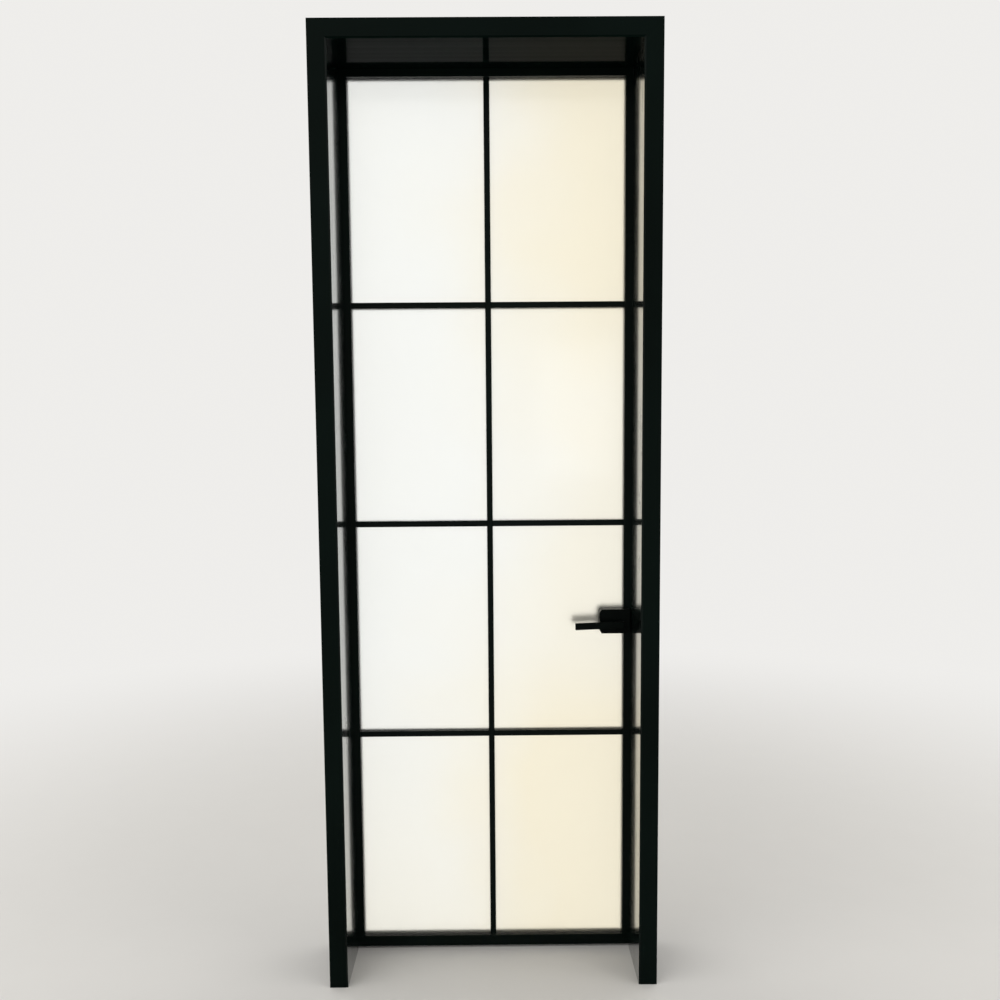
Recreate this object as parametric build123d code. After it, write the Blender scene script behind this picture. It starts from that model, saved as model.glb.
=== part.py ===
"""Glass door with its frame: a narrow metal leaf with one barred pane, in a deep rebated lining.

Millimetres. X runs to the lock side, Y away from the viewer through the wall, Z up.
The origin is on the floor, in the middle of the doorway and of the wall's thickness.
"""
from build123d import *
import os

# Doorway
CLEAR_WIDTH = 800.0
CLEAR_HEIGHT = 2500.0
WALL_THICKNESS = 240.0

# Lining, a hollow extrusion with a rebate at its back edge
LINING_DEPTH = 32.0
LINING_WALL = 2.0
REBATE_STEP = 15.0
REBATE_DEPTH = 46.5
LIP_WIDTH = 4.5
LIP_SETBACK = 1.0
SEAL_GROOVE_MOUTH = 3.0
SEAL_GROOVE_WIDTH = 5.0
SEAL_GROOVE_LIP = 1.2
SEAL_GROOVE_DEPTH = 4.2
SEAL_WIDTH = 10.0
SEAL_CLEARANCE = 0.2
SEAL_CLOSING_GAP = 0.3

# Casings, hollow trims that snap into a slot in the lining
CASING_REACH = 50.0
CASING_THICKNESS = 12.0
CASING_WALL = 1.6
CASING_CORNER = 1.2
CLIP_INSET = 26.5
CLIP_THICKNESS = 2.0
CLIP_LENGTH = 8.0
CLIP_BARB = 1.0
CLIP_CLEARANCE = 0.3

# Leaf frame
LEAF_THICKNESS = 40.0
EDGE_GAP = 4.0
FLOOR_GAP = 8.0
STILE_SIGHT = 19.0
RAIL_FOOT_FACE = 31.0
LEAF_WALL = 1.8
LEAF_CORNER = 0.8
POCKET_DEPTH = 12.5
BACK_SET = 4.0

# Glass and what holds it
GLASS_THICKNESS = 8.0
GLASS_EDGE_GAP = 3.0
GLAZING_SEAL = 3.0
GLAZING_SEAL_INSET = 0.5
GLAZING_SEAL_WIDTH = 8.5
BEAD_WALL = 1.4
SETTING_BLOCK_LENGTH = 80.0
SETTING_BLOCK_FROM_EDGE = 120.0

# Glazing bars
BAR_WIDTH = 16.0
BAR_SETBACK = 4.0
BAR_CHAMFER = 0.8
ROWS = 4

# Corner keys
KEY_LEG = 60.0
KEY_CLEARANCE = 0.2
FRAME_KEY_DEPTH = 40.0

# Hinges
HINGE_COUNT = 3
HINGE_END_DISTANCE = 230.0
HINGE_LENGTH = 100.0
HINGE_PLATE = 1.8
HINGE_PLATE_WIDTH = 32.0
HINGE_PLATE_GAP = 0.4
KNUCKLE_RADIUS = 5.5
KNUCKLE_GAP = 0.3
KNUCKLE_PROUD = 1.0
PIN_RADIUS = 3.0
PIN_CLEARANCE = 0.05
PIN_HEAD_HEIGHT = 2.0

# Countersunk screws
SCREW_RADIUS = 1.9
SCREW_HEAD_RADIUS = 3.6
SCREW_LENGTH = 9.0
SCREW_CLEARANCE = 0.05
HINGE_SCREW_SPREAD = 35.0
HINGE_SCREW_STAGGER = 5.0
KEEP_SCREW_SPREAD = 32.0
FOREND_SCREW_SPREAD = 33.8

# Lock
LOCK_HEIGHT = 980.0
COVER_WIDTH = 87.0
COVER_HEIGHT = 69.0
COVER_PROUD = 26.0
COVER_WALL = 3.0
COVER_EDGE_GAP = 3.5
COVER_ROUND = 12.0
COVER_CUT_WIDTH = 6.0
COVER_CUT_HEIGHT = 12.0
COVER_RIM = 10.5
COVER_EDGE = 0.8
COVER_BOLT_RADIUS = 2.5
COVER_BOLT_HEAD = 4.5
COVER_BOLT_SPREAD = 24.0
COVER_BOSS_RADIUS = 5.0
NOTCH_HEIGHT = 62.0
CASE_HEIGHT = 58.0
CASE_FROM_NOTCH = 20.0
CASE_THICKNESS = 13.6
CASE_WALL = 1.5
BACKSET = 45.0
SPINDLE_DROP = 6.0
SPINDLE_SIDE = 8.0
SPINDLE_CLEARANCE = 0.05

# Lever
LEVER_LENGTH = 138.0
LEVER_OVERHANG = 11.0
LEVER_BAR_HEIGHT = 19.0
LEVER_BAR_THICKNESS = 10.0
LEVER_STANDOFF = 16.0
LEVER_DROOP = 2.0
LEVER_EDGE = 1.2
NECK_RADIUS = 9.0
NECK_CLEARANCE = 0.05
NECK_LENGTH = 18.0
SOCKET_END = 4.0
SET_SCREW_RADIUS = 2.0
SET_SCREW_SUNK = 0.8

# Latch
LATCH_THROW = 12.0
LATCH_THICKNESS = 10.0
LATCH_HEIGHT = 18.0
LATCH_HEAD_LENGTH = 25.0
LATCH_BLOCK = 7.0
ARM_RADIUS = 15.0
ARM_WIDTH = 5.0
TAIL_GAP = 2.0
TAIL_BAR = 4.0
TAIL_THICKNESS = 6.0
TAB_WIDTH = 3.0
TAB_CLEARANCE = 0.3
SPRING_RADIUS = 2.8
SPRING_WIRE = 1.0
SPRING_TURNS = 6
SPRING_REST_GAP = 0.3
SPRING_POST = 2.0
PLATE_HEIGHT = 80.0
PLATE_WIDTH = 20.0
FOREND_THICKNESS = 2.5
KEEP_THICKNESS = 1.5
KEEP_CLEARANCE = 1.5
KEEP_BOX_DEPTH = 10.0
KEEP_BOX_WALL = 1.2

# Fixing holes through the lining into the wall
FIXING_RADIUS = 3.25
FIXING_HEIGHTS = (420.0, 900.0, 1560.0, 2040.0)

# Places that follow from the sizes
HALF_CLEAR = CLEAR_WIDTH / 2
WALL_FRONT = -WALL_THICKNESS / 2
WALL_BACK = WALL_THICKNESS / 2
CASING_FRONT = WALL_FRONT - CASING_THICKNESS
CASING_BACK = WALL_BACK + CASING_THICKNESS
LEAF_BACK = CASING_BACK - BACK_SET
LEAF_FRONT = LEAF_BACK - LEAF_THICKNESS
LIP_BACK = CASING_BACK - LIP_SETBACK
STOP_FACE = LIP_BACK - REBATE_DEPTH
LEAF_MIDDLE = (LEAF_FRONT + LEAF_BACK) / 2
LEAF_REACH = REBATE_STEP - EDGE_GAP
LEAF_HALF = HALF_CLEAR + LEAF_REACH
LEAF_TOP = CLEAR_HEIGHT + LEAF_REACH
LEAF_FOOT = FLOOR_GAP
STILE_FACE = LEAF_REACH + STILE_SIGHT
SIGHT_HALF = LEAF_HALF - STILE_FACE
SIGHT_TOP = LEAF_TOP - STILE_FACE
SIGHT_FOOT = LEAF_FOOT + RAIL_FOOT_FACE
GLASS_FRONT = LEAF_MIDDLE - GLASS_THICKNESS / 2
GLASS_BACK = LEAF_MIDDLE + GLASS_THICKNESS / 2
LEG_BACK = GLASS_FRONT - GLAZING_SEAL
BEAD_FRONT = GLASS_BACK + GLAZING_SEAL
GLASS_BITE = POCKET_DEPTH - GLASS_EDGE_GAP
PIVOT_X = -(HALF_CLEAR + REBATE_STEP - EDGE_GAP / 2)
PIVOT_Y = CASING_BACK + KNUCKLE_PROUD + KNUCKLE_RADIUS
SPINDLE_X = LEAF_HALF - BACKSET
SPINDLE_Z = LOCK_HEIGHT - SPINDLE_DROP
COVER_RIGHT = HALF_CLEAR - COVER_EDGE_GAP
COVER_LEFT = COVER_RIGHT - COVER_WIDTH
COVER_FACE = LEAF_FRONT - COVER_PROUD
NOTCH_LEFT = COVER_LEFT + COVER_RIM
CASE_LEFT = NOTCH_LEFT + CASE_FROM_NOTCH
CASE_RIGHT = LEAF_HALF - FOREND_THICKNESS
CASE_FLOOR = LOCK_HEIGHT - CASE_HEIGHT / 2 + CASE_WALL
BOLT_X = (NOTCH_LEFT + CASE_LEFT) / 2
LATCH_TIP = LEAF_HALF + LATCH_THROW
LATCH_REAR = LATCH_TIP - LATCH_HEAD_LENGTH
BLOCK_REAR = LATCH_REAR - LATCH_BLOCK
SPRING_AXIS_Z = CASE_FLOOR + SPRING_RADIUS + SPRING_WIRE
SPRING_LEFT = SPINDLE_X - ARM_RADIUS
FIXING_Y = LEAF_MIDDLE
HINGE_LEVELS = [
    HINGE_END_DISTANCE + (LEAF_TOP - 2 * HINGE_END_DISTANCE) * step / (HINGE_COUNT - 1)
    for step in range(HINGE_COUNT)
]
ROW_HEIGHT = (SIGHT_TOP - SIGHT_FOOT) / ROWS
BAR_LEVELS = [SIGHT_FOOT + ROW_HEIGHT * row for row in range(1, ROWS)]


def area(left, low, right, high):
    """A rectangle between two corners of the working plane."""
    return Pos((left + right) / 2, (low + high) / 2) * Rectangle(right - left, high - low)


def block(x, y, z):
    """A box between two limits on each axis."""
    size = Box(x[1] - x[0], y[1] - y[0], z[1] - z[0])
    return Pos((x[0] + x[1]) / 2, (y[0] + y[1]) / 2, (z[0] + z[1]) / 2) * size


def plate_y(outline, low, high):
    """An outline drawn in X and Z, given thickness from one Y to another."""
    return Pos(0, low, 0) * extrude(Plane.XZ * outline, amount=high - low, dir=(0, 1, 0))


def rod_y(x, z, low, high, radius):
    """A round rod along Y."""
    return plate_y(Pos(x, z) * Circle(radius), low, high)


def side_bar(section, half_width, height):
    """An upright on the lock side, its section drawn outwards from the opening."""
    return extrude(Pos(half_width, 0) * section, amount=height, dir=(0, 0, 1))


def top_bar(section, level, length):
    """A bar across the top, its section drawn upwards from the opening."""
    plane = Plane(origin=(length / 2, 0, level), x_dir=(0, 0, 1), z_dir=(-1, 0, 0))
    return extrude(plane * section, amount=length, dir=(-1, 0, 0))


def foot_bar(section, level, length):
    """A bar across the foot, its section drawn downwards from the opening."""
    plane = Plane(origin=(-length / 2, 0, level), x_dir=(0, 0, -1), z_dir=(1, 0, 0))
    return extrude(plane * section, amount=length, dir=(1, 0, 0))


def trimmed(bar, *corners):
    """A bar cut to the mitres that an outline in X and Z gives."""
    reach = WALL_THICKNESS
    return bar & plate_y(Polygon(*corners, align=None), -reach, reach)


def mirrored_x(piece):
    """The same piece on the other side of the doorway."""
    return mirror(piece, about=Plane.YZ)


def through_glass(piece):
    """The same piece on the other face of the glass."""
    return mirror(piece, about=Plane.XZ.offset(-LEAF_MIDDLE))


# The lining


def lining_section():
    """Hollow section with a front lip, a rebate for the leaf and a groove for its seal."""
    corners = [
        (0, CASING_FRONT + LIP_SETBACK),
        (LIP_WIDTH, CASING_FRONT + LIP_SETBACK),
        (LIP_WIDTH, WALL_FRONT),
        (LINING_DEPTH, WALL_FRONT),
        (LINING_DEPTH, WALL_BACK),
        (REBATE_STEP + LIP_WIDTH, WALL_BACK),
        (REBATE_STEP + LIP_WIDTH, LIP_BACK),
        (REBATE_STEP, LIP_BACK),
        (REBATE_STEP, STOP_FACE),
        (0, STOP_FACE),
    ]
    groove_floor = STOP_FACE - SEAL_GROOVE_LIP - SEAL_GROOVE_DEPTH
    web = groove_floor - LINING_WALL
    wall = LINING_WALL
    main = area(wall, WALL_FRONT + wall, LINING_DEPTH - wall, web)
    rear = area(REBATE_STEP + wall, groove_floor, LINING_DEPTH - wall, WALL_BACK - wall)
    slots = [area(CLIP_INSET, WALL_FRONT, CLIP_INSET + CLIP_THICKNESS + 2 * CLIP_CLEARANCE, WALL_FRONT + wall)]
    slots.append(mirror(slots[0], about=Plane.XZ))
    mouth = SEAL_GROOVE_MOUTH / 2
    half = SEAL_GROOVE_WIDTH / 2
    middle = REBATE_STEP / 2
    groove = area(middle - mouth, STOP_FACE - SEAL_GROOVE_LIP, middle + mouth, STOP_FACE)
    groove += area(middle - half, groove_floor, middle + half, STOP_FACE - SEAL_GROOVE_LIP)
    return Polygon(*corners, align=None) - main - rear - groove - slots[0] - slots[1]


def frame_upright(section):
    """An upright of the frame, from the floor to its mitre."""
    reach = CASING_REACH + LINING_DEPTH
    bar = side_bar(section, HALF_CLEAR, CLEAR_HEIGHT + reach)
    return trimmed(
        bar,
        (HALF_CLEAR, 0),
        (HALF_CLEAR + reach, 0),
        (HALF_CLEAR + reach, CLEAR_HEIGHT + reach),
        (HALF_CLEAR, CLEAR_HEIGHT),
    )


def frame_head(section):
    """The head of the frame, mitred at both ends."""
    reach = CASING_REACH + LINING_DEPTH
    bar = top_bar(section, CLEAR_HEIGHT, CLEAR_WIDTH + 2 * reach)
    return trimmed(
        bar,
        (-HALF_CLEAR, CLEAR_HEIGHT),
        (HALF_CLEAR, CLEAR_HEIGHT),
        (HALF_CLEAR + reach, CLEAR_HEIGHT + reach),
        (-HALF_CLEAR - reach, CLEAR_HEIGHT + reach),
    )


def fixing_holes():
    """The holes for the wall fixings, behind the leaf's edge in one upright."""
    length = LINING_DEPTH - REBATE_STEP
    middle = HALF_CLEAR + REBATE_STEP + length / 2
    hole = Rot(0, 90, 0) * Cylinder(FIXING_RADIUS, length + LINING_WALL)
    return [Pos(middle, FIXING_Y, height) * hole for height in FIXING_HEIGHTS]


def make_linings():
    """The two uprights and the head, with what is cut into them."""
    upright = frame_upright(lining_section())
    for hole in fixing_holes():
        upright -= hole
    lock_side = upright - keep_opening() - screw_holes(keep_screw_places(), SCREW_LENGTH)
    hinge_side = mirrored_x(upright)
    hinge_side -= screw_holes(hinge_screw_places("frame"), SCREW_LENGTH)
    return hinge_side, lock_side, frame_head(lining_section())


# The casings


def casing_section(inner, front):
    """A hollow trim with a barbed clip leg, for the front or the back of the wall."""
    outline = area(inner, CASING_FRONT, CASING_REACH, WALL_FRONT)
    edges = outline.vertices().sort_by(Axis.Y)[:2]
    outline = fillet(edges, CASING_CORNER)
    hollow = area(inner + CASING_WALL, CASING_FRONT + CASING_WALL, CASING_REACH - CASING_WALL, WALL_FRONT)
    root = CLIP_INSET + CLIP_CLEARANCE
    leg = area(root, CASING_FRONT + CASING_WALL, root + CLIP_THICKNESS, WALL_FRONT + CLIP_LENGTH)
    barb_top = WALL_FRONT + LINING_WALL + CLIP_CLEARANCE
    barb = Polygon(
        (root - CLIP_BARB, barb_top),
        (root, barb_top),
        (root, WALL_FRONT + CLIP_LENGTH),
        align=None,
    )
    section = outline - hollow + leg + barb
    return section if front else mirror(section, about=Plane.XZ)


def make_casings():
    """Front and back casings: left, right and head for each."""
    pieces = {}
    for name, inner, front in (
        ("front", LIP_WIDTH, True),
        ("back", REBATE_STEP + LIP_WIDTH, False),
    ):
        section = casing_section(inner, front)
        upright = frame_upright(section)
        pieces[f"casing_{name}_left"] = mirrored_x(upright)
        pieces[f"casing_{name}_right"] = upright
        pieces[f"casing_{name}_head"] = frame_head(section)
    return pieces


# The seals that the leaf closes on


def door_seal_section():
    """A soft pad with a stem that fills the groove in the stop."""
    middle = REBATE_STEP / 2
    pad_top = LEAF_FRONT - SEAL_CLOSING_GAP
    pad = area(middle - SEAL_WIDTH / 2, STOP_FACE, middle + SEAL_WIDTH / 2, pad_top)
    stem = SEAL_GROOVE_MOUTH / 2 - SEAL_CLEARANCE
    root = SEAL_GROOVE_WIDTH / 2 - SEAL_CLEARANCE
    neck_end = STOP_FACE - SEAL_GROOVE_LIP - SEAL_CLEARANCE
    root_end = neck_end - SEAL_GROOVE_DEPTH / 2
    return pad + area(middle - stem, neck_end, middle + stem, STOP_FACE) + area(
        middle - root, root_end, middle + root, neck_end
    )


def make_door_seals():
    """The seals of the two uprights and of the head."""
    upright = frame_upright(door_seal_section())
    return mirrored_x(upright), upright, frame_head(door_seal_section())


# Corner keys


def key_outline(corner_x, corner_z, width, up):
    """An L in X and Z from the outer corner of two hollow bars, both legs alike."""
    end_x = corner_x - KEY_LEG
    end_z = corner_z - up * KEY_LEG
    return Polygon(
        (corner_x, corner_z),
        (end_x, corner_z),
        (end_x, corner_z - up * width),
        (corner_x - width, corner_z - up * width),
        (corner_x - width, end_z),
        (corner_x, end_z),
        align=None,
    )


def make_frame_keys():
    """The keys in the main chamber of the lining, one in each head mitre."""
    outer = LINING_DEPTH - LINING_WALL - KEY_CLEARANCE
    width = LINING_DEPTH - 2 * LINING_WALL - 2 * KEY_CLEARANCE
    outline = key_outline(HALF_CLEAR + outer, CLEAR_HEIGHT + outer, width, 1)
    key = plate_y(outline, -FRAME_KEY_DEPTH / 2, FRAME_KEY_DEPTH / 2)
    return Compound([mirrored_x(key), key])


def make_leaf_keys():
    """The keys in the rear chamber of the leaf's bars, one in each corner."""
    outer = LEAF_WALL + KEY_CLEARANCE
    chamber = POCKET_DEPTH + LEAF_WALL + KEY_CLEARANCE
    width = STILE_FACE - chamber - outer
    low = LEG_BACK + KEY_CLEARANCE
    high = LEAF_BACK - LEAF_WALL - KEY_CLEARANCE
    top = plate_y(key_outline(LEAF_HALF - outer, LEAF_TOP - outer, width, 1), low, high)
    base = plate_y(key_outline(LEAF_HALF - outer, LEAF_FOOT + outer, width, -1), low, high)
    return Compound([mirrored_x(top), top, mirrored_x(base), base])


# The leaf's frame


def leaf_section(face):
    """Hollow section with a pocket for the glass, drawn outwards from the sight line."""
    outline = Polygon(
        (0, LEAF_FRONT),
        (face, LEAF_FRONT),
        (face, LEAF_BACK),
        (POCKET_DEPTH, LEAF_BACK),
        (POCKET_DEPTH, LEG_BACK),
        (0, LEG_BACK),
        align=None,
    )
    outline = fillet(outline.vertices().sort_by(Axis.Y)[:2], LEAF_CORNER)
    wall = LEAF_WALL
    front = area(wall, LEAF_FRONT + wall, face - wall, LEG_BACK - wall)
    rear = area(POCKET_DEPTH + wall, LEG_BACK, face - wall, LEAF_BACK - wall)
    return outline - front - rear


def leaf_upright(section, side_reach, foot_reach):
    """An upright of the leaf, mitred at both ends."""
    bar = Pos(0, 0, LEAF_FOOT) * side_bar(section, SIGHT_HALF, LEAF_TOP - LEAF_FOOT)
    return trimmed(
        bar,
        (SIGHT_HALF, SIGHT_FOOT),
        (SIGHT_HALF + side_reach, SIGHT_FOOT - foot_reach),
        (SIGHT_HALF + side_reach, SIGHT_TOP + side_reach),
        (SIGHT_HALF, SIGHT_TOP),
    )


def leaf_top(section, reach):
    """A bar along the top of the leaf, mitred at both ends."""
    return trimmed(
        top_bar(section, SIGHT_TOP, 2 * LEAF_HALF),
        (-SIGHT_HALF, SIGHT_TOP),
        (SIGHT_HALF, SIGHT_TOP),
        (SIGHT_HALF + reach, SIGHT_TOP + reach),
        (-SIGHT_HALF - reach, SIGHT_TOP + reach),
    )


def leaf_foot(section, side_reach, foot_reach):
    """A bar along the foot of the leaf, mitred at both ends."""
    return trimmed(
        foot_bar(section, SIGHT_FOOT, 2 * LEAF_HALF),
        (-SIGHT_HALF, SIGHT_FOOT),
        (SIGHT_HALF, SIGHT_FOOT),
        (SIGHT_HALF + side_reach, SIGHT_FOOT - foot_reach),
        (-SIGHT_HALF - side_reach, SIGHT_FOOT - foot_reach),
    )


def make_leaf_frame():
    """The two stiles and the two rails."""
    stile = leaf_upright(leaf_section(STILE_FACE), STILE_FACE, RAIL_FOOT_FACE)
    hinge_stile = mirrored_x(stile) - screw_holes(hinge_screw_places("leaf"), SCREW_LENGTH)
    lock_stile = stile - lock_recess() - forend_recess()
    lock_stile -= screw_holes(forend_screw_places(), SCREW_LENGTH)
    rail_top = leaf_top(leaf_section(STILE_FACE), STILE_FACE)
    rail_foot = leaf_foot(leaf_section(RAIL_FOOT_FACE), STILE_FACE, RAIL_FOOT_FACE)
    return hinge_stile, lock_stile, rail_top, rail_foot


# The glass and its fixings


def make_glass():
    """One pane with a notch for the lock."""
    half = SIGHT_HALF + GLASS_BITE
    pane = block(
        (-half, half),
        (GLASS_FRONT, GLASS_BACK),
        (SIGHT_FOOT - GLASS_BITE, SIGHT_TOP + GLASS_BITE),
    )
    notch_half = NOTCH_HEIGHT / 2
    return pane - block(
        (NOTCH_LEFT, half),
        (GLASS_FRONT, GLASS_BACK),
        (LOCK_HEIGHT - notch_half, LOCK_HEIGHT + notch_half),
    )


def glazing_seal(low, high):
    """A frame of soft strip that presses on one face of the glass."""
    inner = GLAZING_SEAL_INSET
    outer = inner + GLAZING_SEAL_WIDTH
    ring = area(-SIGHT_HALF - outer, SIGHT_FOOT - outer, SIGHT_HALF + outer, SIGHT_TOP + outer)
    ring -= area(-SIGHT_HALF - inner, SIGHT_FOOT - inner, SIGHT_HALF + inner, SIGHT_TOP + inner)
    return plate_y(ring, low, high) - lock_recess()


def bead_section():
    """A hollow bead that snaps in behind the glass."""
    wall = BEAD_WALL
    outline = area(0, BEAD_FRONT, POCKET_DEPTH, LEAF_BACK)
    outline = fillet(outline.vertices().sort_by(Axis.Y)[-2:].sort_by(Axis.X)[:1], LEAF_CORNER)
    return outline - area(wall, BEAD_FRONT + wall, POCKET_DEPTH - wall, LEAF_BACK - wall)


def make_beads():
    """The four glazing beads, on the back of the leaf."""
    upright = leaf_upright(bead_section(), POCKET_DEPTH, POCKET_DEPTH)
    top = leaf_top(bead_section(), POCKET_DEPTH)
    foot = leaf_foot(bead_section(), POCKET_DEPTH, POCKET_DEPTH)
    return mirrored_x(upright), upright - lock_recess(), top, foot


def make_setting_blocks():
    """The two packers that the pane stands on."""
    low = SIGHT_FOOT - POCKET_DEPTH
    start = SIGHT_HALF - SETTING_BLOCK_FROM_EDGE
    packer = block(
        (start - SETTING_BLOCK_LENGTH, start),
        (GLASS_FRONT, GLASS_BACK),
        (low, low + GLASS_EDGE_GAP),
    )
    return Compound([mirrored_x(packer), packer])


# The glazing bars


def glazing_bar(length, upright):
    """A straight bar against the front of the glass, its front edges chamfered."""
    front = LEAF_FRONT + BAR_SETBACK
    depth = GLASS_FRONT - front
    bar = Box(length, depth, BAR_WIDTH)
    long_edges = bar.edges().filter_by(Axis.X).group_by(Axis.Y)[0]
    bar = chamfer(long_edges, BAR_CHAMFER)
    if upright:
        bar = Rot(0, 90, 0) * bar
    return Pos(0, front + depth / 2, 0) * bar


def make_bars():
    """The upright and the cross bars of the front, halved where they cross."""
    front = LEAF_FRONT + BAR_SETBACK
    middle = (front + GLASS_FRONT) / 2
    half = BAR_WIDTH / 2
    upright = Pos(0, 0, (SIGHT_FOOT + SIGHT_TOP) / 2) * glazing_bar(SIGHT_TOP - SIGHT_FOOT, True)
    cross_bars = []
    for level in BAR_LEVELS:
        span = (level - half, level + half)
        upright -= block((-half, half), (middle, GLASS_FRONT), span)
        bar = Pos(0, 0, level) * glazing_bar(2 * SIGHT_HALF, False)
        cross_bars.append(bar - block((-half, half), (front, middle), span))
    return upright, cross_bars


# Screws


def countersunk(radius, head_radius, plate, length):
    """A countersunk screw or its hole, head up at the origin and shank along -Z."""
    head = Pos(0, 0, -plate / 2) * Cone(radius, head_radius, plate)
    shank = Pos(0, 0, -length / 2) * Cylinder(radius, length)
    return head + shank


def screw_holes(places, length):
    """The holes that a set of screws passes through."""
    clear = SCREW_CLEARANCE
    holes = [
        place * countersunk(SCREW_RADIUS + clear, SCREW_HEAD_RADIUS + clear, HINGE_PLATE, length + clear)
        for place in places
    ]
    return holes


def screws(places):
    """A set of like screws, each a solid of its own."""
    screw = countersunk(SCREW_RADIUS, SCREW_HEAD_RADIUS, HINGE_PLATE, SCREW_LENGTH)
    return [place * screw for place in places]


def hinge_screw_places(body):
    """Where the hinge screws go: three through each plate, set out in a zigzag."""
    face = PIVOT_X + (HINGE_PLATE_GAP / 2 if body == "leaf" else -HINGE_PLATE_GAP / 2)
    turn = 90 if body == "frame" else -90
    middle = LEAF_MIDDLE + HINGE_SCREW_STAGGER
    places = []
    for level in HINGE_LEVELS:
        for step in (-1, 0, 1):
            shift = HINGE_SCREW_STAGGER * (1 if step == 0 else -1)
            spot = Pos(face, middle + shift, level + step * HINGE_SCREW_SPREAD)
            places.append(spot * Rot(0, turn, 0))
    return places


def keep_screw_places():
    """The two screws of the strike plate."""
    face = HALF_CLEAR + REBATE_STEP - KEEP_THICKNESS
    spread = KEEP_SCREW_SPREAD
    return [Pos(face, LEAF_MIDDLE, LOCK_HEIGHT + s) * Rot(0, -90, 0) for s in (-spread, spread)]


def forend_screw_places():
    """The two screws of the forend plate."""
    spread = FOREND_SCREW_SPREAD
    return [Pos(LEAF_HALF, LEAF_MIDDLE, LOCK_HEIGHT + s) * Rot(0, 90, 0) for s in (-spread, spread)]


# Hinges


def knuckle(low, high):
    """One barrel of a hinge."""
    return Pos(PIVOT_X, PIVOT_Y, (low + high) / 2) * Cylinder(KNUCKLE_RADIUS, high - low)


def hinge_spans(level):
    """The heights of the three knuckles, frame, leaf and frame."""
    third = HINGE_LENGTH / 3
    low = level - HINGE_LENGTH / 2
    half = KNUCKLE_GAP / 2
    return [
        (low, low + third - half),
        (low + third + half, low + 2 * third - half),
        (low + 2 * third + half, low + HINGE_LENGTH),
    ]


def hinge_plate(level, body):
    """A hinge leaf: a plate in the gap beside the leaf and the knuckles that it carries."""
    if body == "frame":
        near = PIVOT_X - HINGE_PLATE_GAP / 2
        x = (near - HINGE_PLATE, near)
        spans = [hinge_spans(level)[0], hinge_spans(level)[2]]
    else:
        near = PIVOT_X + HINGE_PLATE_GAP / 2
        x = (near, near + HINGE_PLATE)
        spans = [hinge_spans(level)[1]]
    rear = PIVOT_Y - KNUCKLE_RADIUS - KNUCKLE_PROUD
    half = HINGE_LENGTH / 2
    plate = block(x, (rear - HINGE_PLATE_WIDTH, rear), (level - half, level + half))
    for low, high in spans:
        plate += block(x, (rear, PIVOT_Y), (low, high))
        plate += knuckle(low, high)
    bore = Cylinder(PIN_RADIUS + PIN_CLEARANCE, HINGE_LENGTH)
    plate -= Pos(PIVOT_X, PIVOT_Y, level) * bore
    return plate - screw_holes(hinge_screw_places(body), SCREW_LENGTH)


def make_hinge_pins():
    """The pins, each with a flat head that rests on the top knuckle."""
    pins = []
    for level in HINGE_LEVELS:
        top = level + HINGE_LENGTH / 2
        pin = Pos(PIVOT_X, PIVOT_Y, level) * Cylinder(PIN_RADIUS, HINGE_LENGTH)
        head = Cylinder(KNUCKLE_RADIUS, PIN_HEAD_HEIGHT)
        pins.append(pin + Pos(PIVOT_X, PIVOT_Y, top + PIN_HEAD_HEIGHT / 2) * head)
    return Compound(pins)


# Lock


def lock_recess():
    """What is milled out of the lock stile, its bead and its seals for the lock case."""
    half = CASE_HEIGHT / 2 + KEY_CLEARANCE
    return block(
        (NOTCH_LEFT, CASE_RIGHT),
        (LEAF_MIDDLE - CASE_THICKNESS / 2, LEAF_MIDDLE + CASE_THICKNESS / 2),
        (LOCK_HEIGHT - half, LOCK_HEIGHT + half),
    )


def forend_recess():
    """The seat of the forend plate in the edge of the lock stile."""
    half = PLATE_HEIGHT / 2
    return block(
        (CASE_RIGHT, LEAF_HALF),
        (LEAF_MIDDLE - PLATE_WIDTH / 2, LEAF_MIDDLE + PLATE_WIDTH / 2),
        (LOCK_HEIGHT - half, LOCK_HEIGHT + half),
    )


def cover_outline(inset):
    """The lock cover's outline, rounded at the top corner and cut at the bottom one."""
    half = COVER_HEIGHT / 2
    left = COVER_LEFT + inset
    right = COVER_RIGHT - inset
    low = LOCK_HEIGHT - half + inset
    high = LOCK_HEIGHT + half - inset
    outline = Polygon(
        (left, high),
        (right, high),
        (right, low),
        (left + COVER_CUT_WIDTH, low),
        (left, low + COVER_CUT_HEIGHT),
        align=None,
    )
    corner = outline.vertices().sort_by(Axis.Y)[-2:].sort_by(Axis.X)[:1]
    return fillet(corner, COVER_ROUND - inset)


def make_cover():
    """The front lock cover: a cast shell that stands on the glass and on the stile."""
    over_glass = area(COVER_LEFT, LOCK_HEIGHT - COVER_HEIGHT, SIGHT_HALF, LOCK_HEIGHT + COVER_HEIGHT)
    shell = plate_y(cover_outline(0), COVER_FACE, LEAF_FRONT)
    shell = chamfer(shell.edges().group_by(Axis.Y)[0], COVER_EDGE)
    shell += plate_y(cover_outline(0) & over_glass, LEAF_FRONT, GLASS_FRONT)
    inside = plate_y(cover_outline(COVER_WALL), COVER_FACE + COVER_WALL, GLASS_FRONT)
    shell -= inside
    bearing_end = COVER_FACE + NECK_LENGTH
    boss_radius = NECK_RADIUS + COVER_WALL
    shell += rod_y(SPINDLE_X, SPINDLE_Z, COVER_FACE + COVER_WALL, bearing_end, boss_radius)
    shell -= rod_y(SPINDLE_X, SPINDLE_Z, COVER_FACE, bearing_end, NECK_RADIUS + NECK_CLEARANCE)
    for spread in (-COVER_BOLT_SPREAD, COVER_BOLT_SPREAD):
        z = LOCK_HEIGHT + spread
        shell += rod_y(BOLT_X, z, COVER_FACE + COVER_WALL, GLASS_FRONT, COVER_BOSS_RADIUS)
    return shell


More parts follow.
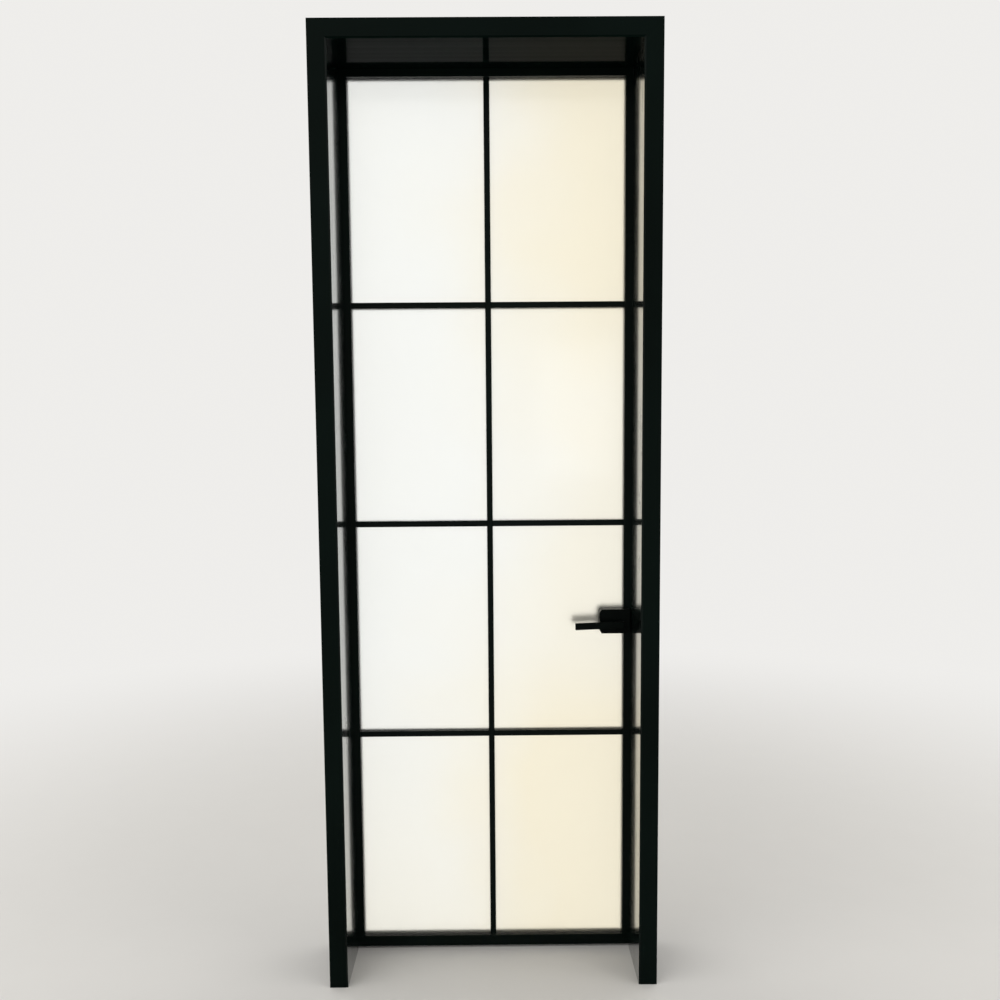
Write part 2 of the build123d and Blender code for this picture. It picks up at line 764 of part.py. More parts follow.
def bolt_holes(first, last, radius):
    """Round holes on the axes of the two cover bolts."""
    return [
        rod_y(BOLT_X, LOCK_HEIGHT + spread, first, last, radius)
        for spread in (-COVER_BOLT_SPREAD, COVER_BOLT_SPREAD)
    ]


def make_covers():
    """The two covers: the front one blind, the back one with seats for the bolt heads."""
    cover = make_cover()
    clear = COVER_BOLT_RADIUS + SCREW_CLEARANCE
    bolt_end = COVER_FACE + 2 * COVER_WALL
    face = 2 * LEAF_MIDDLE - COVER_FACE
    front = cover - bolt_holes(bolt_end, GLASS_FRONT, clear)
    back = through_glass(cover) - bolt_holes(GLASS_BACK, face, clear)
    back -= bolt_holes(face - COVER_WALL, face, COVER_BOLT_HEAD + SCREW_CLEARANCE)
    return front, back


def make_cover_bolts():
    """The two bolts that clamp the covers, put in from the back."""
    face = 2 * LEAF_MIDDLE - COVER_FACE
    start = COVER_FACE + 2 * COVER_WALL
    bolts = []
    for spread in (-COVER_BOLT_SPREAD, COVER_BOLT_SPREAD):
        z = LOCK_HEIGHT + spread
        bolt = rod_y(BOLT_X, z, start, face - COVER_WALL, COVER_BOLT_RADIUS)
        bolt += rod_y(BOLT_X, z, face - COVER_WALL, face - SCREW_CLEARANCE, COVER_BOLT_HEAD)
        key = Pos(BOLT_X, z) * RegularPolygon(COVER_BOLT_RADIUS, 6)
        bolts.append(bolt - plate_y(key, face - COVER_WALL, face))
    return Compound(bolts)


def make_case():
    """The lock case: a closed box with a bearing for the hub and a mouth for the latch."""
    half_y = CASE_THICKNESS / 2
    half_z = CASE_HEIGHT / 2
    wall = CASE_WALL
    inner_y = (LEAF_MIDDLE - half_y + wall, LEAF_MIDDLE + half_y - wall)
    case = block(
        (CASE_LEFT, CASE_RIGHT),
        (LEAF_MIDDLE - half_y, LEAF_MIDDLE + half_y),
        (LOCK_HEIGHT - half_z, LOCK_HEIGHT + half_z),
    )
    case -= block(
        (CASE_LEFT + wall, CASE_RIGHT - wall),
        inner_y,
        (LOCK_HEIGHT - half_z + wall, LOCK_HEIGHT + half_z - wall),
    )
    case -= rod_y(
        SPINDLE_X, SPINDLE_Z, LEAF_MIDDLE - half_y, LEAF_MIDDLE + half_y, NECK_RADIUS + NECK_CLEARANCE
    )
    case -= latch_window(CASE_RIGHT - wall, CASE_RIGHT)
    case += block(
        (SPRING_LEFT - SPRING_POST, SPRING_LEFT),
        inner_y,
        (CASE_FLOOR, SPRING_AXIS_Z + SPRING_RADIUS),
    )
    return case


def latch_window(left, right):
    """The hole that the latch slides through, with its running clearance."""
    half_y = LATCH_THICKNESS / 2 + TAB_CLEARANCE
    half_z = LATCH_HEIGHT / 2 + TAB_CLEARANCE
    return block(
        (left, right),
        (LEAF_MIDDLE - half_y, LEAF_MIDDLE + half_y),
        (SPINDLE_Z - half_z, SPINDLE_Z + half_z),
    )


def make_forend():
    """The plate in the leaf's edge that the latch comes out of."""
    plate = forend_recess() - latch_window(CASE_RIGHT, LEAF_HALF)
    return plate - screw_holes(forend_screw_places(), SCREW_LENGTH)


# The keep in the lining


def keep_opening():
    """The window in the lining that the strike box sits in."""
    half_y = LATCH_THICKNESS / 2 + KEEP_CLEARANCE + KEEP_BOX_WALL
    half_z = LATCH_HEIGHT / 2 + KEEP_CLEARANCE + KEEP_BOX_WALL
    face = HALF_CLEAR + REBATE_STEP
    return block(
        (face, face + LINING_WALL),
        (LEAF_MIDDLE - half_y, LEAF_MIDDLE + half_y),
        (SPINDLE_Z - half_z, SPINDLE_Z + half_z),
    )


def keep_mouth(left, right):
    """The hole that the latch shoots into."""
    half_y = LATCH_THICKNESS / 2 + KEEP_CLEARANCE
    half_z = LATCH_HEIGHT / 2 + KEEP_CLEARANCE
    return block(
        (left, right),
        (LEAF_MIDDLE - half_y, LEAF_MIDDLE + half_y),
        (SPINDLE_Z - half_z, SPINDLE_Z + half_z),
    )


def make_strike_plate():
    """The plate on the rebate that the latch shoots through."""
    face = HALF_CLEAR + REBATE_STEP
    half = PLATE_HEIGHT / 2
    plate = block(
        (face - KEEP_THICKNESS, face),
        (LEAF_MIDDLE - PLATE_WIDTH / 2, LEAF_MIDDLE + PLATE_WIDTH / 2),
        (LOCK_HEIGHT - half, LOCK_HEIGHT + half),
    )
    plate -= keep_mouth(face - KEEP_THICKNESS, face)
    return plate - screw_holes(keep_screw_places(), SCREW_LENGTH)


def make_strike_box():
    """The open-fronted box inside the lining that the latch ends in."""
    face = HALF_CLEAR + REBATE_STEP
    wall = KEEP_BOX_WALL
    half_y = LATCH_THICKNESS / 2 + KEEP_CLEARANCE + wall
    half_z = LATCH_HEIGHT / 2 + KEEP_CLEARANCE + wall
    box = block(
        (face, face + KEEP_BOX_DEPTH),
        (LEAF_MIDDLE - half_y, LEAF_MIDDLE + half_y),
        (SPINDLE_Z - half_z, SPINDLE_Z + half_z),
    )
    return box - keep_mouth(face, face + KEEP_BOX_DEPTH - wall)


# Lever, spindle and hub


def square_hole(first, last):
    """The square hole that the spindle fits."""
    side = SPINDLE_SIDE + 2 * SPINDLE_CLEARANCE
    return plate_y(Pos(SPINDLE_X, SPINDLE_Z) * Rectangle(side, side), first, last)


def make_lever():
    """The front lever: a square bar with bevelled edges on a round neck."""
    bar_back = COVER_FACE - LEVER_STANDOFF
    bar_front = bar_back - LEVER_BAR_THICKNESS
    bar = Box(LEVER_LENGTH, LEVER_BAR_THICKNESS, LEVER_BAR_HEIGHT)
    bar = chamfer(bar.edges(), LEVER_EDGE)
    bar = Pos(LEVER_OVERHANG - LEVER_LENGTH / 2, 0, 0) * bar
    bar = Pos(SPINDLE_X, (bar_front + bar_back) / 2, SPINDLE_Z) * Rot(0, -LEVER_DROOP, 0) * bar
    neck_end = COVER_FACE + NECK_LENGTH
    lever = bar + rod_y(SPINDLE_X, SPINDLE_Z, bar_back, neck_end, NECK_RADIUS)
    lever -= square_hole(bar_front + SOCKET_END, neck_end)
    return lever - set_screw_hole()


def set_screw_hole():
    """The hole up through the neck to the spindle."""
    y = COVER_FACE - LEVER_STANDOFF / 2
    low = SPINDLE_Z - NECK_RADIUS
    high = SPINDLE_Z - SPINDLE_SIDE / 2
    hole = Cylinder(SET_SCREW_RADIUS + SCREW_CLEARANCE, high - low)
    return Pos(SPINDLE_X, y, (low + high) / 2) * hole


def make_set_screws():
    """The grub screws that hold the levers on the spindle."""
    y = COVER_FACE - LEVER_STANDOFF / 2
    low = SPINDLE_Z - NECK_RADIUS + SET_SCREW_SUNK
    high = SPINDLE_Z - SPINDLE_SIDE / 2
    screw = Pos(SPINDLE_X, y, (low + high) / 2) * Cylinder(SET_SCREW_RADIUS, high - low)
    return Compound([screw, through_glass(screw)])


def make_spindle():
    """The square bar through both levers and the hub."""
    end = COVER_FACE - LEVER_STANDOFF - LEVER_BAR_THICKNESS + SOCKET_END + SPINDLE_CLEARANCE
    outline = Pos(SPINDLE_X, SPINDLE_Z) * Rectangle(SPINDLE_SIDE, SPINDLE_SIDE)
    return plate_y(outline, end, 2 * LEAF_MIDDLE - end)


def make_hub():
    """The follower in the lock case, with the arm that draws the latch."""
    half = CASE_THICKNESS / 2
    hub = rod_y(SPINDLE_X, SPINDLE_Z, LEAF_MIDDLE - half, LEAF_MIDDLE + half, NECK_RADIUS)
    hub += block(
        (SPINDLE_X - ARM_WIDTH / 2, SPINDLE_X + ARM_WIDTH / 2),
        (LEAF_MIDDLE - TAIL_THICKNESS / 2, LEAF_MIDDLE + TAIL_THICKNESS / 2),
        (SPINDLE_Z, SPINDLE_Z + ARM_RADIUS),
    )
    return hub - square_hole(LEAF_MIDDLE - half, LEAF_MIDDLE + half)


# Latch


def make_latch():
    """The spring latch: a bevelled head, and a tail that hooks over the hub's arm."""
    half_y = LATCH_THICKNESS / 2
    half_z = LATCH_HEIGHT / 2
    head = block(
        (LATCH_REAR, LATCH_TIP),
        (LEAF_MIDDLE - half_y, LEAF_MIDDLE + half_y),
        (SPINDLE_Z - half_z, SPINDLE_Z + half_z),
    )
    bevel = Polygon(
        (LATCH_TIP, LEAF_MIDDLE - half_y),
        (LATCH_TIP, LEAF_MIDDLE + half_y),
        (LATCH_TIP - LATCH_THROW + EDGE_GAP, LEAF_MIDDLE - half_y),
        align=None,
    )
    head -= Pos(0, 0, SPINDLE_Z - half_z) * extrude(bevel, amount=LATCH_HEIGHT, dir=(0, 0, 1))
    tail_y = (LEAF_MIDDLE - TAIL_THICKNESS / 2, LEAF_MIDDLE + TAIL_THICKNESS / 2)
    bar_low = SPINDLE_Z + ARM_RADIUS + TAIL_GAP
    bar_high = bar_low + TAIL_BAR
    spring_low = SPRING_AXIS_Z - SPRING_RADIUS
    tail = block((BLOCK_REAR, LATCH_REAR), tail_y, (spring_low, bar_high))
    hook = SPINDLE_X - ARM_WIDTH / 2 - TAB_CLEARANCE
    tail += block((hook - TAB_WIDTH, BLOCK_REAR), tail_y, (bar_low, bar_high))
    tail += block((hook - TAB_WIDTH, hook), tail_y, (SPINDLE_Z + NECK_RADIUS + TAB_CLEARANCE, bar_low))
    return head + tail


def make_spring():
    """The square-wire coil that throws the latch, between a post in the case and its tail."""
    start = SPRING_LEFT + SPRING_REST_GAP + SPRING_WIRE
    end = BLOCK_REAR - SPRING_REST_GAP - SPRING_WIRE
    path = Helix(
        pitch=(end - start) / SPRING_TURNS,
        height=end - start,
        radius=SPRING_RADIUS,
        center=(start, LEAF_MIDDLE, SPRING_AXIS_Z),
        direction=(1, 0, 0),
    )
    section = Plane(path @ 0, z_dir=path % 0) * Rectangle(SPRING_WIRE, SPRING_WIRE)
    return sweep(section, path=path, is_frenet=True)


# All the pieces


def build_frame():
    """The pieces that stay in the wall."""
    pieces = {}
    names = ("lining_left", "lining_right", "lining_head")
    pieces.update(zip(names, make_linings()))
    pieces.update(make_casings())
    names = ("door_seal_left", "door_seal_right", "door_seal_head")
    pieces.update(zip(names, make_door_seals()))
    pieces["lining_corner_keys"] = make_frame_keys()
    pieces["strike_plate"] = make_strike_plate()
    pieces["strike_box"] = make_strike_box()
    for number, level in enumerate(HINGE_LEVELS, 1):
        pieces[f"hinge_{number}_frame_plate"] = hinge_plate(level, "frame")
    pieces["hinge_pins"] = make_hinge_pins()
    pieces["frame_screws"] = Compound(screws(hinge_screw_places("frame") + keep_screw_places()))
    return pieces


def build_leaf():
    """The pieces that swing."""
    pieces = {}
    names = ("stile_hinge_side", "stile_lock_side", "rail_top", "rail_bottom")
    pieces.update(zip(names, make_leaf_frame()))
    pieces["leaf_corner_keys"] = make_leaf_keys()
    pieces["glass_pane"] = make_glass()
    pieces["glazing_seal_front"] = glazing_seal(LEG_BACK, GLASS_FRONT)
    pieces["glazing_seal_back"] = glazing_seal(GLASS_BACK, BEAD_FRONT)
    names = ("glazing_bead_left", "glazing_bead_right", "glazing_bead_top", "glazing_bead_bottom")
    pieces.update(zip(names, make_beads()))
    pieces["setting_blocks"] = make_setting_blocks()
    upright, cross_bars = make_bars()
    for face, place in (("front", lambda piece: piece), ("back", through_glass)):
        pieces[f"glazing_bar_{face}_upright"] = place(upright)
        for number, bar in enumerate(cross_bars, 1):
            pieces[f"glazing_bar_{face}_cross_{number}"] = place(bar)
    for number, level in enumerate(HINGE_LEVELS, 1):
        pieces[f"hinge_{number}_leaf_plate"] = hinge_plate(level, "leaf")
    pieces["leaf_screws"] = Compound(screws(hinge_screw_places("leaf") + forend_screw_places()))
    pieces["lock_cover_front"], pieces["lock_cover_back"] = make_covers()
    pieces["lock_cover_bolts"] = make_cover_bolts()
    pieces["lock_case"] = make_case()
    pieces["lock_forend"] = make_forend()
    pieces["latch_spring"] = make_spring()
    return pieces


def build_handle():
    """The pieces that turn with the lever, and the latch that they draw."""
    lever = make_lever()
    return {
        "lever_front": lever,
        "lever_back": through_glass(lever),
        "lever_spindle": make_spindle(),
        "lever_hub": make_hub(),
        "lever_set_screws": make_set_screws(),
        "latch_bolt": make_latch(),
    }


os.makedirs("parts", exist_ok=True)
for node, piece in {**build_frame(), **build_leaf(), **build_handle()}.items():
    export_step(piece, f"parts/{node}.step")
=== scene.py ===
"""Finishes for a glass door with its frame, and a plain studio round it.

Metres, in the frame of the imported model: X to the lock side, Y away from the viewer, Z up.
"""

import math

import bmesh
import bpy
from bpy.props import FloatProperty, FloatVectorProperty, IntProperty, PointerProperty
from mathutils import Matrix, Vector


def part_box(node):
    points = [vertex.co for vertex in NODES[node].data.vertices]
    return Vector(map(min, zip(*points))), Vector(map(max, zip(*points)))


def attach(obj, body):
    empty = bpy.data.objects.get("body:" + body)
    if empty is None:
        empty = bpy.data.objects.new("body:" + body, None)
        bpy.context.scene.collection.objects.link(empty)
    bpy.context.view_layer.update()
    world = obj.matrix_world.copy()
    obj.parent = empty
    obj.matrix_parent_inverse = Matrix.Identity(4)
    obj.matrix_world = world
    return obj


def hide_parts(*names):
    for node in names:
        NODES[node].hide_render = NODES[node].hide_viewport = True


bl_info = {
    "name": "Glass door dressing",
    "version": (1, 0, 0),
    "blender": (4, 5, 0),
    "location": "View3D > Sidebar > Door",
    "description": "Finishes, screws, hinge pins and a studio for a framed glass door",
    "category": "Object",
}

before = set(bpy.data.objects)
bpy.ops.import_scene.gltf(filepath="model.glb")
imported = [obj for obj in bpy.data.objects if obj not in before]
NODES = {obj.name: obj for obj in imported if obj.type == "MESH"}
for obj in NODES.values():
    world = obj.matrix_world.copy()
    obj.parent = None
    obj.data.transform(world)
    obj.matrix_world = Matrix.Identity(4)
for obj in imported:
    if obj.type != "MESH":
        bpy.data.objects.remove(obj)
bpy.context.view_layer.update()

MM = 0.001
X_AXIS, Z_AXIS = 0, 2
GLASS_LOW, GLASS_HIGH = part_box("glass_pane")

# Squeeze of the grain's pattern along each axis, which draws it out along a piece
UPRIGHT_RUN = (1.0, 1.0, 0.002)
LEVEL_RUN = (0.002, 1.0, 1.0)
DRAWN_RUN = (1.0, 1.0, 0.05)
KEY_RUN = (0.05, 1.0, 0.05)
EVEN_RUN = (1.0, 1.0, 1.0)

# How strongly the base of each coat mirrors what is round it, where 0.5 is plain varnish
CASING_MIRROR = 0.03
LINING_MIRROR = 0.1
HEAD_MIRROR = 0.0
LEAF_MIRROR = 0.05
HARDWARE_MIRROR = 0.03

# Clear gloss over the coat on the faces that look into the doorway
JAMB_GLOSS = 1.0
HEAD_GLOSS = 0.1
GLOSS_ROUGHNESS = 0.09

# The share of the pane's width over which the painted light on its white turns from cool to warm
BACKLIGHT_TINT_SPAN = 0.75

# Colours that no setting changes
DUST = (0.2, 0.19, 0.17)
HAIRLINE = (0.001, 0.001, 0.001)
CLOUD = (0.8, 0.8, 0.78)
PACKER = (0.05, 0.05, 0.05)
MILL_ALUMINIUM = (0.62, 0.62, 0.61)

# Dust on coats that are wiped now and then, and on seals that aren't
WIPED_DUST = 0.05
SEAL_DUST = 0.25

# Relief of a coat, measured in the height of its orange peel
DIE_LINE_RELIEF = 0.6
HAIRLINE_DEPTH = 6.0

# How far a finish's roughness strays to each side, and what a full layer of dust adds to it
COAT_SPREAD = 0.03
METAL_SPREAD = 0.06
DUST_ROUGHNESS = 0.5

# The screws and the hinge pins, with their shanks as a share of the head's radius
SCREW_SHANK = 0.53
SCREW_HEAD_HEIGHT = 1.8 * MM
SCREW_RIM = 0.15 * MM
PIN_SHANK = 0.545
PIN_HEAD_HEIGHT = 2.0 * MM
PIN_FOOT = 0.4 * MM
DOME_STEPS = 5

# Radians of turn for each metre of height, so that the screws' recesses don't line up
SCREW_SPIN = 17.0

# How near counts as the same point, the same corner of a node and the same face
SAME_POINT = 0.001 * MM
SAME_CORNER = 0.005 * MM
SAME_FACE = 0.01 * MM

# The background's strength as a light, and as what shows through the pane
AMBIENT = 0.66
BEHIND_GLASS = 1.22

# The floor, which fades into the background from one distance to another
FLOOR_RADIUS = 40.0
FLOOR_SIDES = 96
FADE_START = 1.3
FADE_END = 4.8

# The camera's sensor, in millimetres
SENSOR_WIDTH = 36.0

# Lamp colours, from neutral to warm
WHITE = (1.0, 1.0, 1.0)
SOFT_WHITE = (1.0, 0.985, 0.96)
BACK_WHITE = (1.0, 0.985, 0.95)
WARM_WHITE = (1.0, 0.97, 0.93)


# Settings


class DoorFinishSettings(bpy.types.PropertyGroup):
    """Colours and gloss of the door's finishes."""

    coat: FloatVectorProperty(
        name="Powder coat", description="Colour of the black powder coat",
        default=(0.0012, 0.003, 0.0023), subtype="COLOR", min=0.0, max=1.0)
    coat_sheen: FloatVectorProperty(
        name="Powder coat, lighter", description="The lighter tone that the coat drifts to",
        default=(0.0022, 0.0056, 0.0045), subtype="COLOR", min=0.0, max=1.0)
    casing_roughness: FloatProperty(
        name="Casing roughness", description="Roughness of the casings' satin coat",
        default=0.42, min=0.0, max=1.0)
    lining_roughness: FloatProperty(
        name="Lining roughness", description="Roughness of the lining's glossy coat",
        default=0.2, min=0.0, max=1.0)
    leaf_roughness: FloatProperty(
        name="Leaf roughness", description="Roughness of the leaf frame's coat",
        default=0.3, min=0.0, max=1.0)
    hardware: FloatVectorProperty(
        name="Hardware", description="Colour of the lock covers, levers and hinges",
        default=(0.0012, 0.0022, 0.0018), subtype="COLOR", min=0.0, max=1.0)
    hardware_roughness: FloatProperty(
        name="Hardware roughness", description="Roughness of the lock covers, levers and hinges",
        default=0.32, min=0.0, max=1.0)
    # The pane's white with painted light: a cool tone painted on the hinge side and a warm tone painted
    # on the lock side stand in for coloured light from behind the door
    glass_painted_cool_light: FloatVectorProperty(
        name="Glass, cool side", description="Colour of the milky glass on the hinge side",
        default=(0.975, 0.995, 0.98), subtype="COLOR", min=0.0, max=1.0)
    glass_painted_warm_light: FloatVectorProperty(
        name="Glass, warm side", description="Colour of the milky glass on the lock side",
        default=(0.985, 0.925, 0.745), subtype="COLOR", min=0.0, max=1.0)
    steel: FloatVectorProperty(
        name="Steel", description="Colour of the bare steel of screws and plates",
        default=(0.4, 0.39, 0.37), subtype="COLOR", min=0.0, max=1.0)
    steel_roughness: FloatProperty(
        name="Steel roughness", description="Roughness of the bare steel plates and lock parts",
        default=0.32, min=0.0, max=1.0)
    screw_roughness: FloatProperty(
        name="Screw roughness", description="Roughness of the screws' bare steel",
        default=0.28, min=0.0, max=1.0)
    aluminium_roughness: FloatProperty(
        name="Aluminium roughness", description="Roughness of the corner keys' bare aluminium",
        default=0.4, min=0.0, max=1.0)
    rubber: FloatVectorProperty(
        name="Rubber", description="Colour of the seals",
        default=(0.011, 0.011, 0.011), subtype="COLOR", min=0.0, max=1.0)


class DoorScrewSettings(bpy.types.PropertyGroup):
    """Shape of the screws and of the hinge pins."""

    recess_span: FloatProperty(
        name="Recess span", description="Length of each slot of the cross recess",
        default=4.2 * MM, unit="LENGTH", min=0.0)
    recess_width: FloatProperty(
        name="Recess width", description="Width of each slot of the cross recess",
        default=0.9 * MM, unit="LENGTH", min=0.0)
    recess_depth: FloatProperty(
        name="Recess depth", description="Depth of the cross recess",
        default=1.1 * MM, unit="LENGTH", min=0.0)
    head_dome: FloatProperty(
        name="Pin head dome", description="Rise of the rounded edge of a hinge pin's head",
        default=1.2 * MM, unit="LENGTH", min=0.0)
    sides: IntProperty(
        name="Sides", description="Facets round a screw or a pin", default=28, min=6)


class DoorStageSettings(bpy.types.PropertyGroup):
    """Camera, lamps and floor."""

    lens: FloatProperty(
        name="Lens", description="Focal length on a 36 mm sensor", default=37.44, min=1.0)
    distance: FloatProperty(
        name="Distance", description="From the camera to the middle of the wall",
        default=2.859, unit="LENGTH")
    height: FloatProperty(
        name="Height", description="Of the camera over the floor", default=1.487, unit="LENGTH")
    aside: FloatProperty(
        name="Aside", description="Of the camera to the right of the doorway's middle",
        default=0.0095, unit="LENGTH")
    tilt: FloatProperty(
        name="Tilt", description="How far the camera looks down", default=math.radians(5.861),
        unit="ROTATION")
    turn: FloatProperty(
        name="Turn", description="How far the camera turns to the left", default=math.radians(-0.361),
        unit="ROTATION")
    roll: FloatProperty(
        name="Roll", description="Turn of the camera about its own axis", default=math.radians(-0.435),
        unit="ROTATION")
    rise: FloatProperty(
        name="Rise", description="Upward shift of the lens, as a share of the frame", default=0.05)
    floor: FloatVectorProperty(
        name="Floor", description="Colour of the floor", default=(0.74, 0.73, 0.71),
        subtype="COLOR", min=0.0, max=1.0)
    backdrop: FloatVectorProperty(
        name="Backdrop", description="Colour of the background", default=(0.86, 0.85, 0.83),
        subtype="COLOR", min=0.0, max=1.0)
    key: FloatProperty(
        name="Key lamp", description="Power of the large front lamp", default=110.0, min=0.0)
    fill: FloatProperty(
        name="Fill lamp", description="Power of the side lamp", default=45.0, min=0.0)
    back: FloatProperty(
        name="Back lamps", description="Power of each lamp behind the door", default=40.0, min=0.0)
    window: FloatProperty(
        name="Window lamp", description="Power of the tall lamp that the pane mirrors",
        default=1.2, min=0.0)


# Node helpers


def new_material(name):
    """A plain node material, with its tree and its shader."""
    material = bpy.data.materials.new(name)
    material.use_nodes = True
    tree = material.node_tree
    tree.nodes.clear()
    output = tree.nodes.new("ShaderNodeOutputMaterial")
    shader = tree.nodes.new("ShaderNodeBsdfPrincipled")
    tree.links.new(shader.outputs["BSDF"], output.inputs["Surface"])
    return material, tree, shader


def place_vector(tree):
    """The surface's place in the piece's own metres."""
    return tree.nodes.new("ShaderNodeTexCoord").outputs["Object"]


def new_group(name, inputs, outputs):
    """A shader node group with named sockets, its tree, its input and its output nodes."""
    group = bpy.data.node_groups.new(name, "ShaderNodeTree")
    for label, kind, value in inputs:
        socket = group.interface.new_socket(label, in_out="INPUT", socket_type=kind)
        if value is not None:
            socket.default_value = value
    for label, kind in outputs:
        group.interface.new_socket(label, in_out="OUTPUT", socket_type=kind)
    return group, group.nodes.new("NodeGroupInput"), group.nodes.new("NodeGroupOutput")


def noise(tree, vector, scale, detail=2.0, roughness=0.5):
    """A noise texture's value."""
    node = tree.nodes.new("ShaderNodeTexNoise")
    node.inputs["Detail"].default_value = detail
    node.inputs["Roughness"].default_value = roughness
    tree.links.new(vector, node.inputs["Vector"])
    if isinstance(scale, bpy.types.NodeSocket):
        tree.links.new(scale, node.inputs["Scale"])
    else:
        node.inputs["Scale"].default_value = scale
    return node.outputs["Fac"]


def stretched(tree, vector, scale):
    """The same place, stretched along the axes."""
    node = tree.nodes.new("ShaderNodeMapping")
    node.inputs["Scale"].default_value = scale
    tree.links.new(vector, node.inputs["Vector"])
    return node.outputs["Vector"]


def remap(tree, value, low, high, to_low=0.0, to_high=1.0, smooth=False):
    """A value moved from one span to another."""
    node = tree.nodes.new("ShaderNodeMapRange")
    node.interpolation_type = "SMOOTHSTEP" if smooth else "LINEAR"
    for name, number in (
        ("From Min", low), ("From Max", high), ("To Min", to_low), ("To Max", to_high)
    ):
        if isinstance(number, bpy.types.NodeSocket):
            tree.links.new(number, node.inputs[name])
        else:
            node.inputs[name].default_value = number
    tree.links.new(value, node.inputs["Value"])
    return node.outputs["Result"]


def maths(tree, operation, first, second=None):
    """A sum, product or other operation on one or two values."""
    node = tree.nodes.new("ShaderNodeMath")
    node.operation = operation
    for socket, value in zip(node.inputs, (first, second)):
        if value is None:
            continue
        if isinstance(value, bpy.types.NodeSocket):
            tree.links.new(value, socket)
        else:
            socket.default_value = value
    return node.outputs["Value"]


def blend_colours(tree, factor, first, second):
    """Two colours mixed by a factor."""
    node = tree.nodes.new("ShaderNodeMix")
    node.data_type = "RGBA"
    sockets = {socket.name: socket for socket in node.inputs if socket.enabled}
    for name, value in (("Factor", factor), ("A", first), ("B", second)):
        if isinstance(value, bpy.types.NodeSocket):
            tree.links.new(value, sockets[name])
        elif name == "Factor":
            sockets[name].default_value = value
        else:
            sockets[name].default_value = (*value, 1.0)
    return [socket for socket in node.outputs if socket.enabled][0]


def scaled(colour, factor):
    """A colour made lighter or darker."""
    return tuple(factor * part for part in colour)


def split(tree, vector):
    """The three parts of a vector."""
    node = tree.nodes.new("ShaderNodeSeparateXYZ")
    tree.links.new(vector, node.inputs["Vector"])
    return node.outputs["X"], node.outputs["Y"], node.outputs["Z"]


def bump(tree, shader, height, strength, distance):
    """Relief on a shader's normal."""
    node = tree.nodes.new("ShaderNodeBump")
    node.inputs["Strength"].default_value = strength
    node.inputs["Distance"].default_value = distance
    tree.links.new(height, node.inputs["Height"])
    tree.links.new(node.outputs["Normal"], shader.inputs["Normal"])


# Shared effects


def make_coat_group():
    """Orange peel and slow drift of a powder coat."""
    group, inside, outside = new_group(
        "Powder coat",
        [("Vector", "NodeSocketVector", None), ("Peel Scale", "NodeSocketFloat", 900.0),
         ("Drift Scale", "NodeSocketFloat", 2.2)],
        [("Height", "NodeSocketFloat"), ("Drift", "NodeSocketFloat")])
    vector = inside.outputs["Vector"]
    peel = noise(group, vector, inside.outputs["Peel Scale"], detail=1.0, roughness=0.4)
    drift = noise(group, vector, inside.outputs["Drift Scale"], detail=3.0, roughness=0.55)
    group.links.new(peel, outside.inputs["Height"])
    group.links.new(remap(group, drift, low=0.3, high=0.7), outside.inputs["Drift"])
    return group


def make_smudge_group():
    """Faint wiping and finger marks, as patches and long soft streaks."""
    group, inside, outside = new_group(
        "Smudges",
        [("Vector", "NodeSocketVector", None), ("Patch Scale", "NodeSocketFloat", 9.0),
         ("Amount", "NodeSocketFloat", 0.1)],
        [("Roughness Shift", "NodeSocketFloat"), ("Mask", "NodeSocketFloat")])
    vector = inside.outputs["Vector"]
    patches = noise(group, vector, inside.outputs["Patch Scale"], detail=5.0, roughness=0.6)
    upright = stretched(group, vector, (34.0, 34.0, 1.6))
    streaks = noise(group, upright, scale=1.0, detail=3.0, roughness=0.55)
    patches = remap(group, patches, low=0.42, high=0.68)
    streaks = remap(group, streaks, low=0.35, high=0.75)
    both = maths(group, "MULTIPLY", patches, streaks)
    shift = maths(group, "MULTIPLY", both, inside.outputs["Amount"])
    group.links.new(both, outside.inputs["Mask"])
    group.links.new(shift, outside.inputs["Roughness Shift"])
    return group


def make_dust_group():
    """Dust that settles on faces that look up, thicker in patches."""
    group, inside, outside = new_group(
        "Settled dust",
        [("Vector", "NodeSocketVector", None), ("Amount", "NodeSocketFloat", 0.2)],
        [("Mask", "NodeSocketFloat")])
    normal = group.nodes.new("ShaderNodeNewGeometry").outputs["Normal"]
    _, _, upward = split(group, normal)
    up = remap(group, upward, low=0.6, high=1.0, smooth=True)
    patches = noise(group, inside.outputs["Vector"], scale=14.0, detail=6.0, roughness=0.55)
    patches = remap(group, patches, low=0.2, high=0.8)
    mask = maths(group, "MULTIPLY", maths(group, "MULTIPLY", up, patches), inside.outputs["Amount"])
    group.links.new(mask, outside.inputs["Mask"])
    return group


def make_die_line_group():
    """The fine lines that a die leaves along an extrusion, or an even grain."""
    group, inside, outside = new_group(
        "Die lines",
        [("Vector", "NodeSocketVector", None), ("Along", "NodeSocketVector", EVEN_RUN)],
        [("Height", "NodeSocketFloat")])
    node = group.nodes.new("ShaderNodeVectorMath")
    node.operation = "MULTIPLY"
    group.links.new(inside.outputs["Vector"], node.inputs[0])
    group.links.new(inside.outputs["Along"], node.inputs[1])
    lines = noise(group, node.outputs["Vector"], scale=420.0, detail=3.0, roughness=0.6)
    group.links.new(lines, outside.inputs["Height"])
    return group


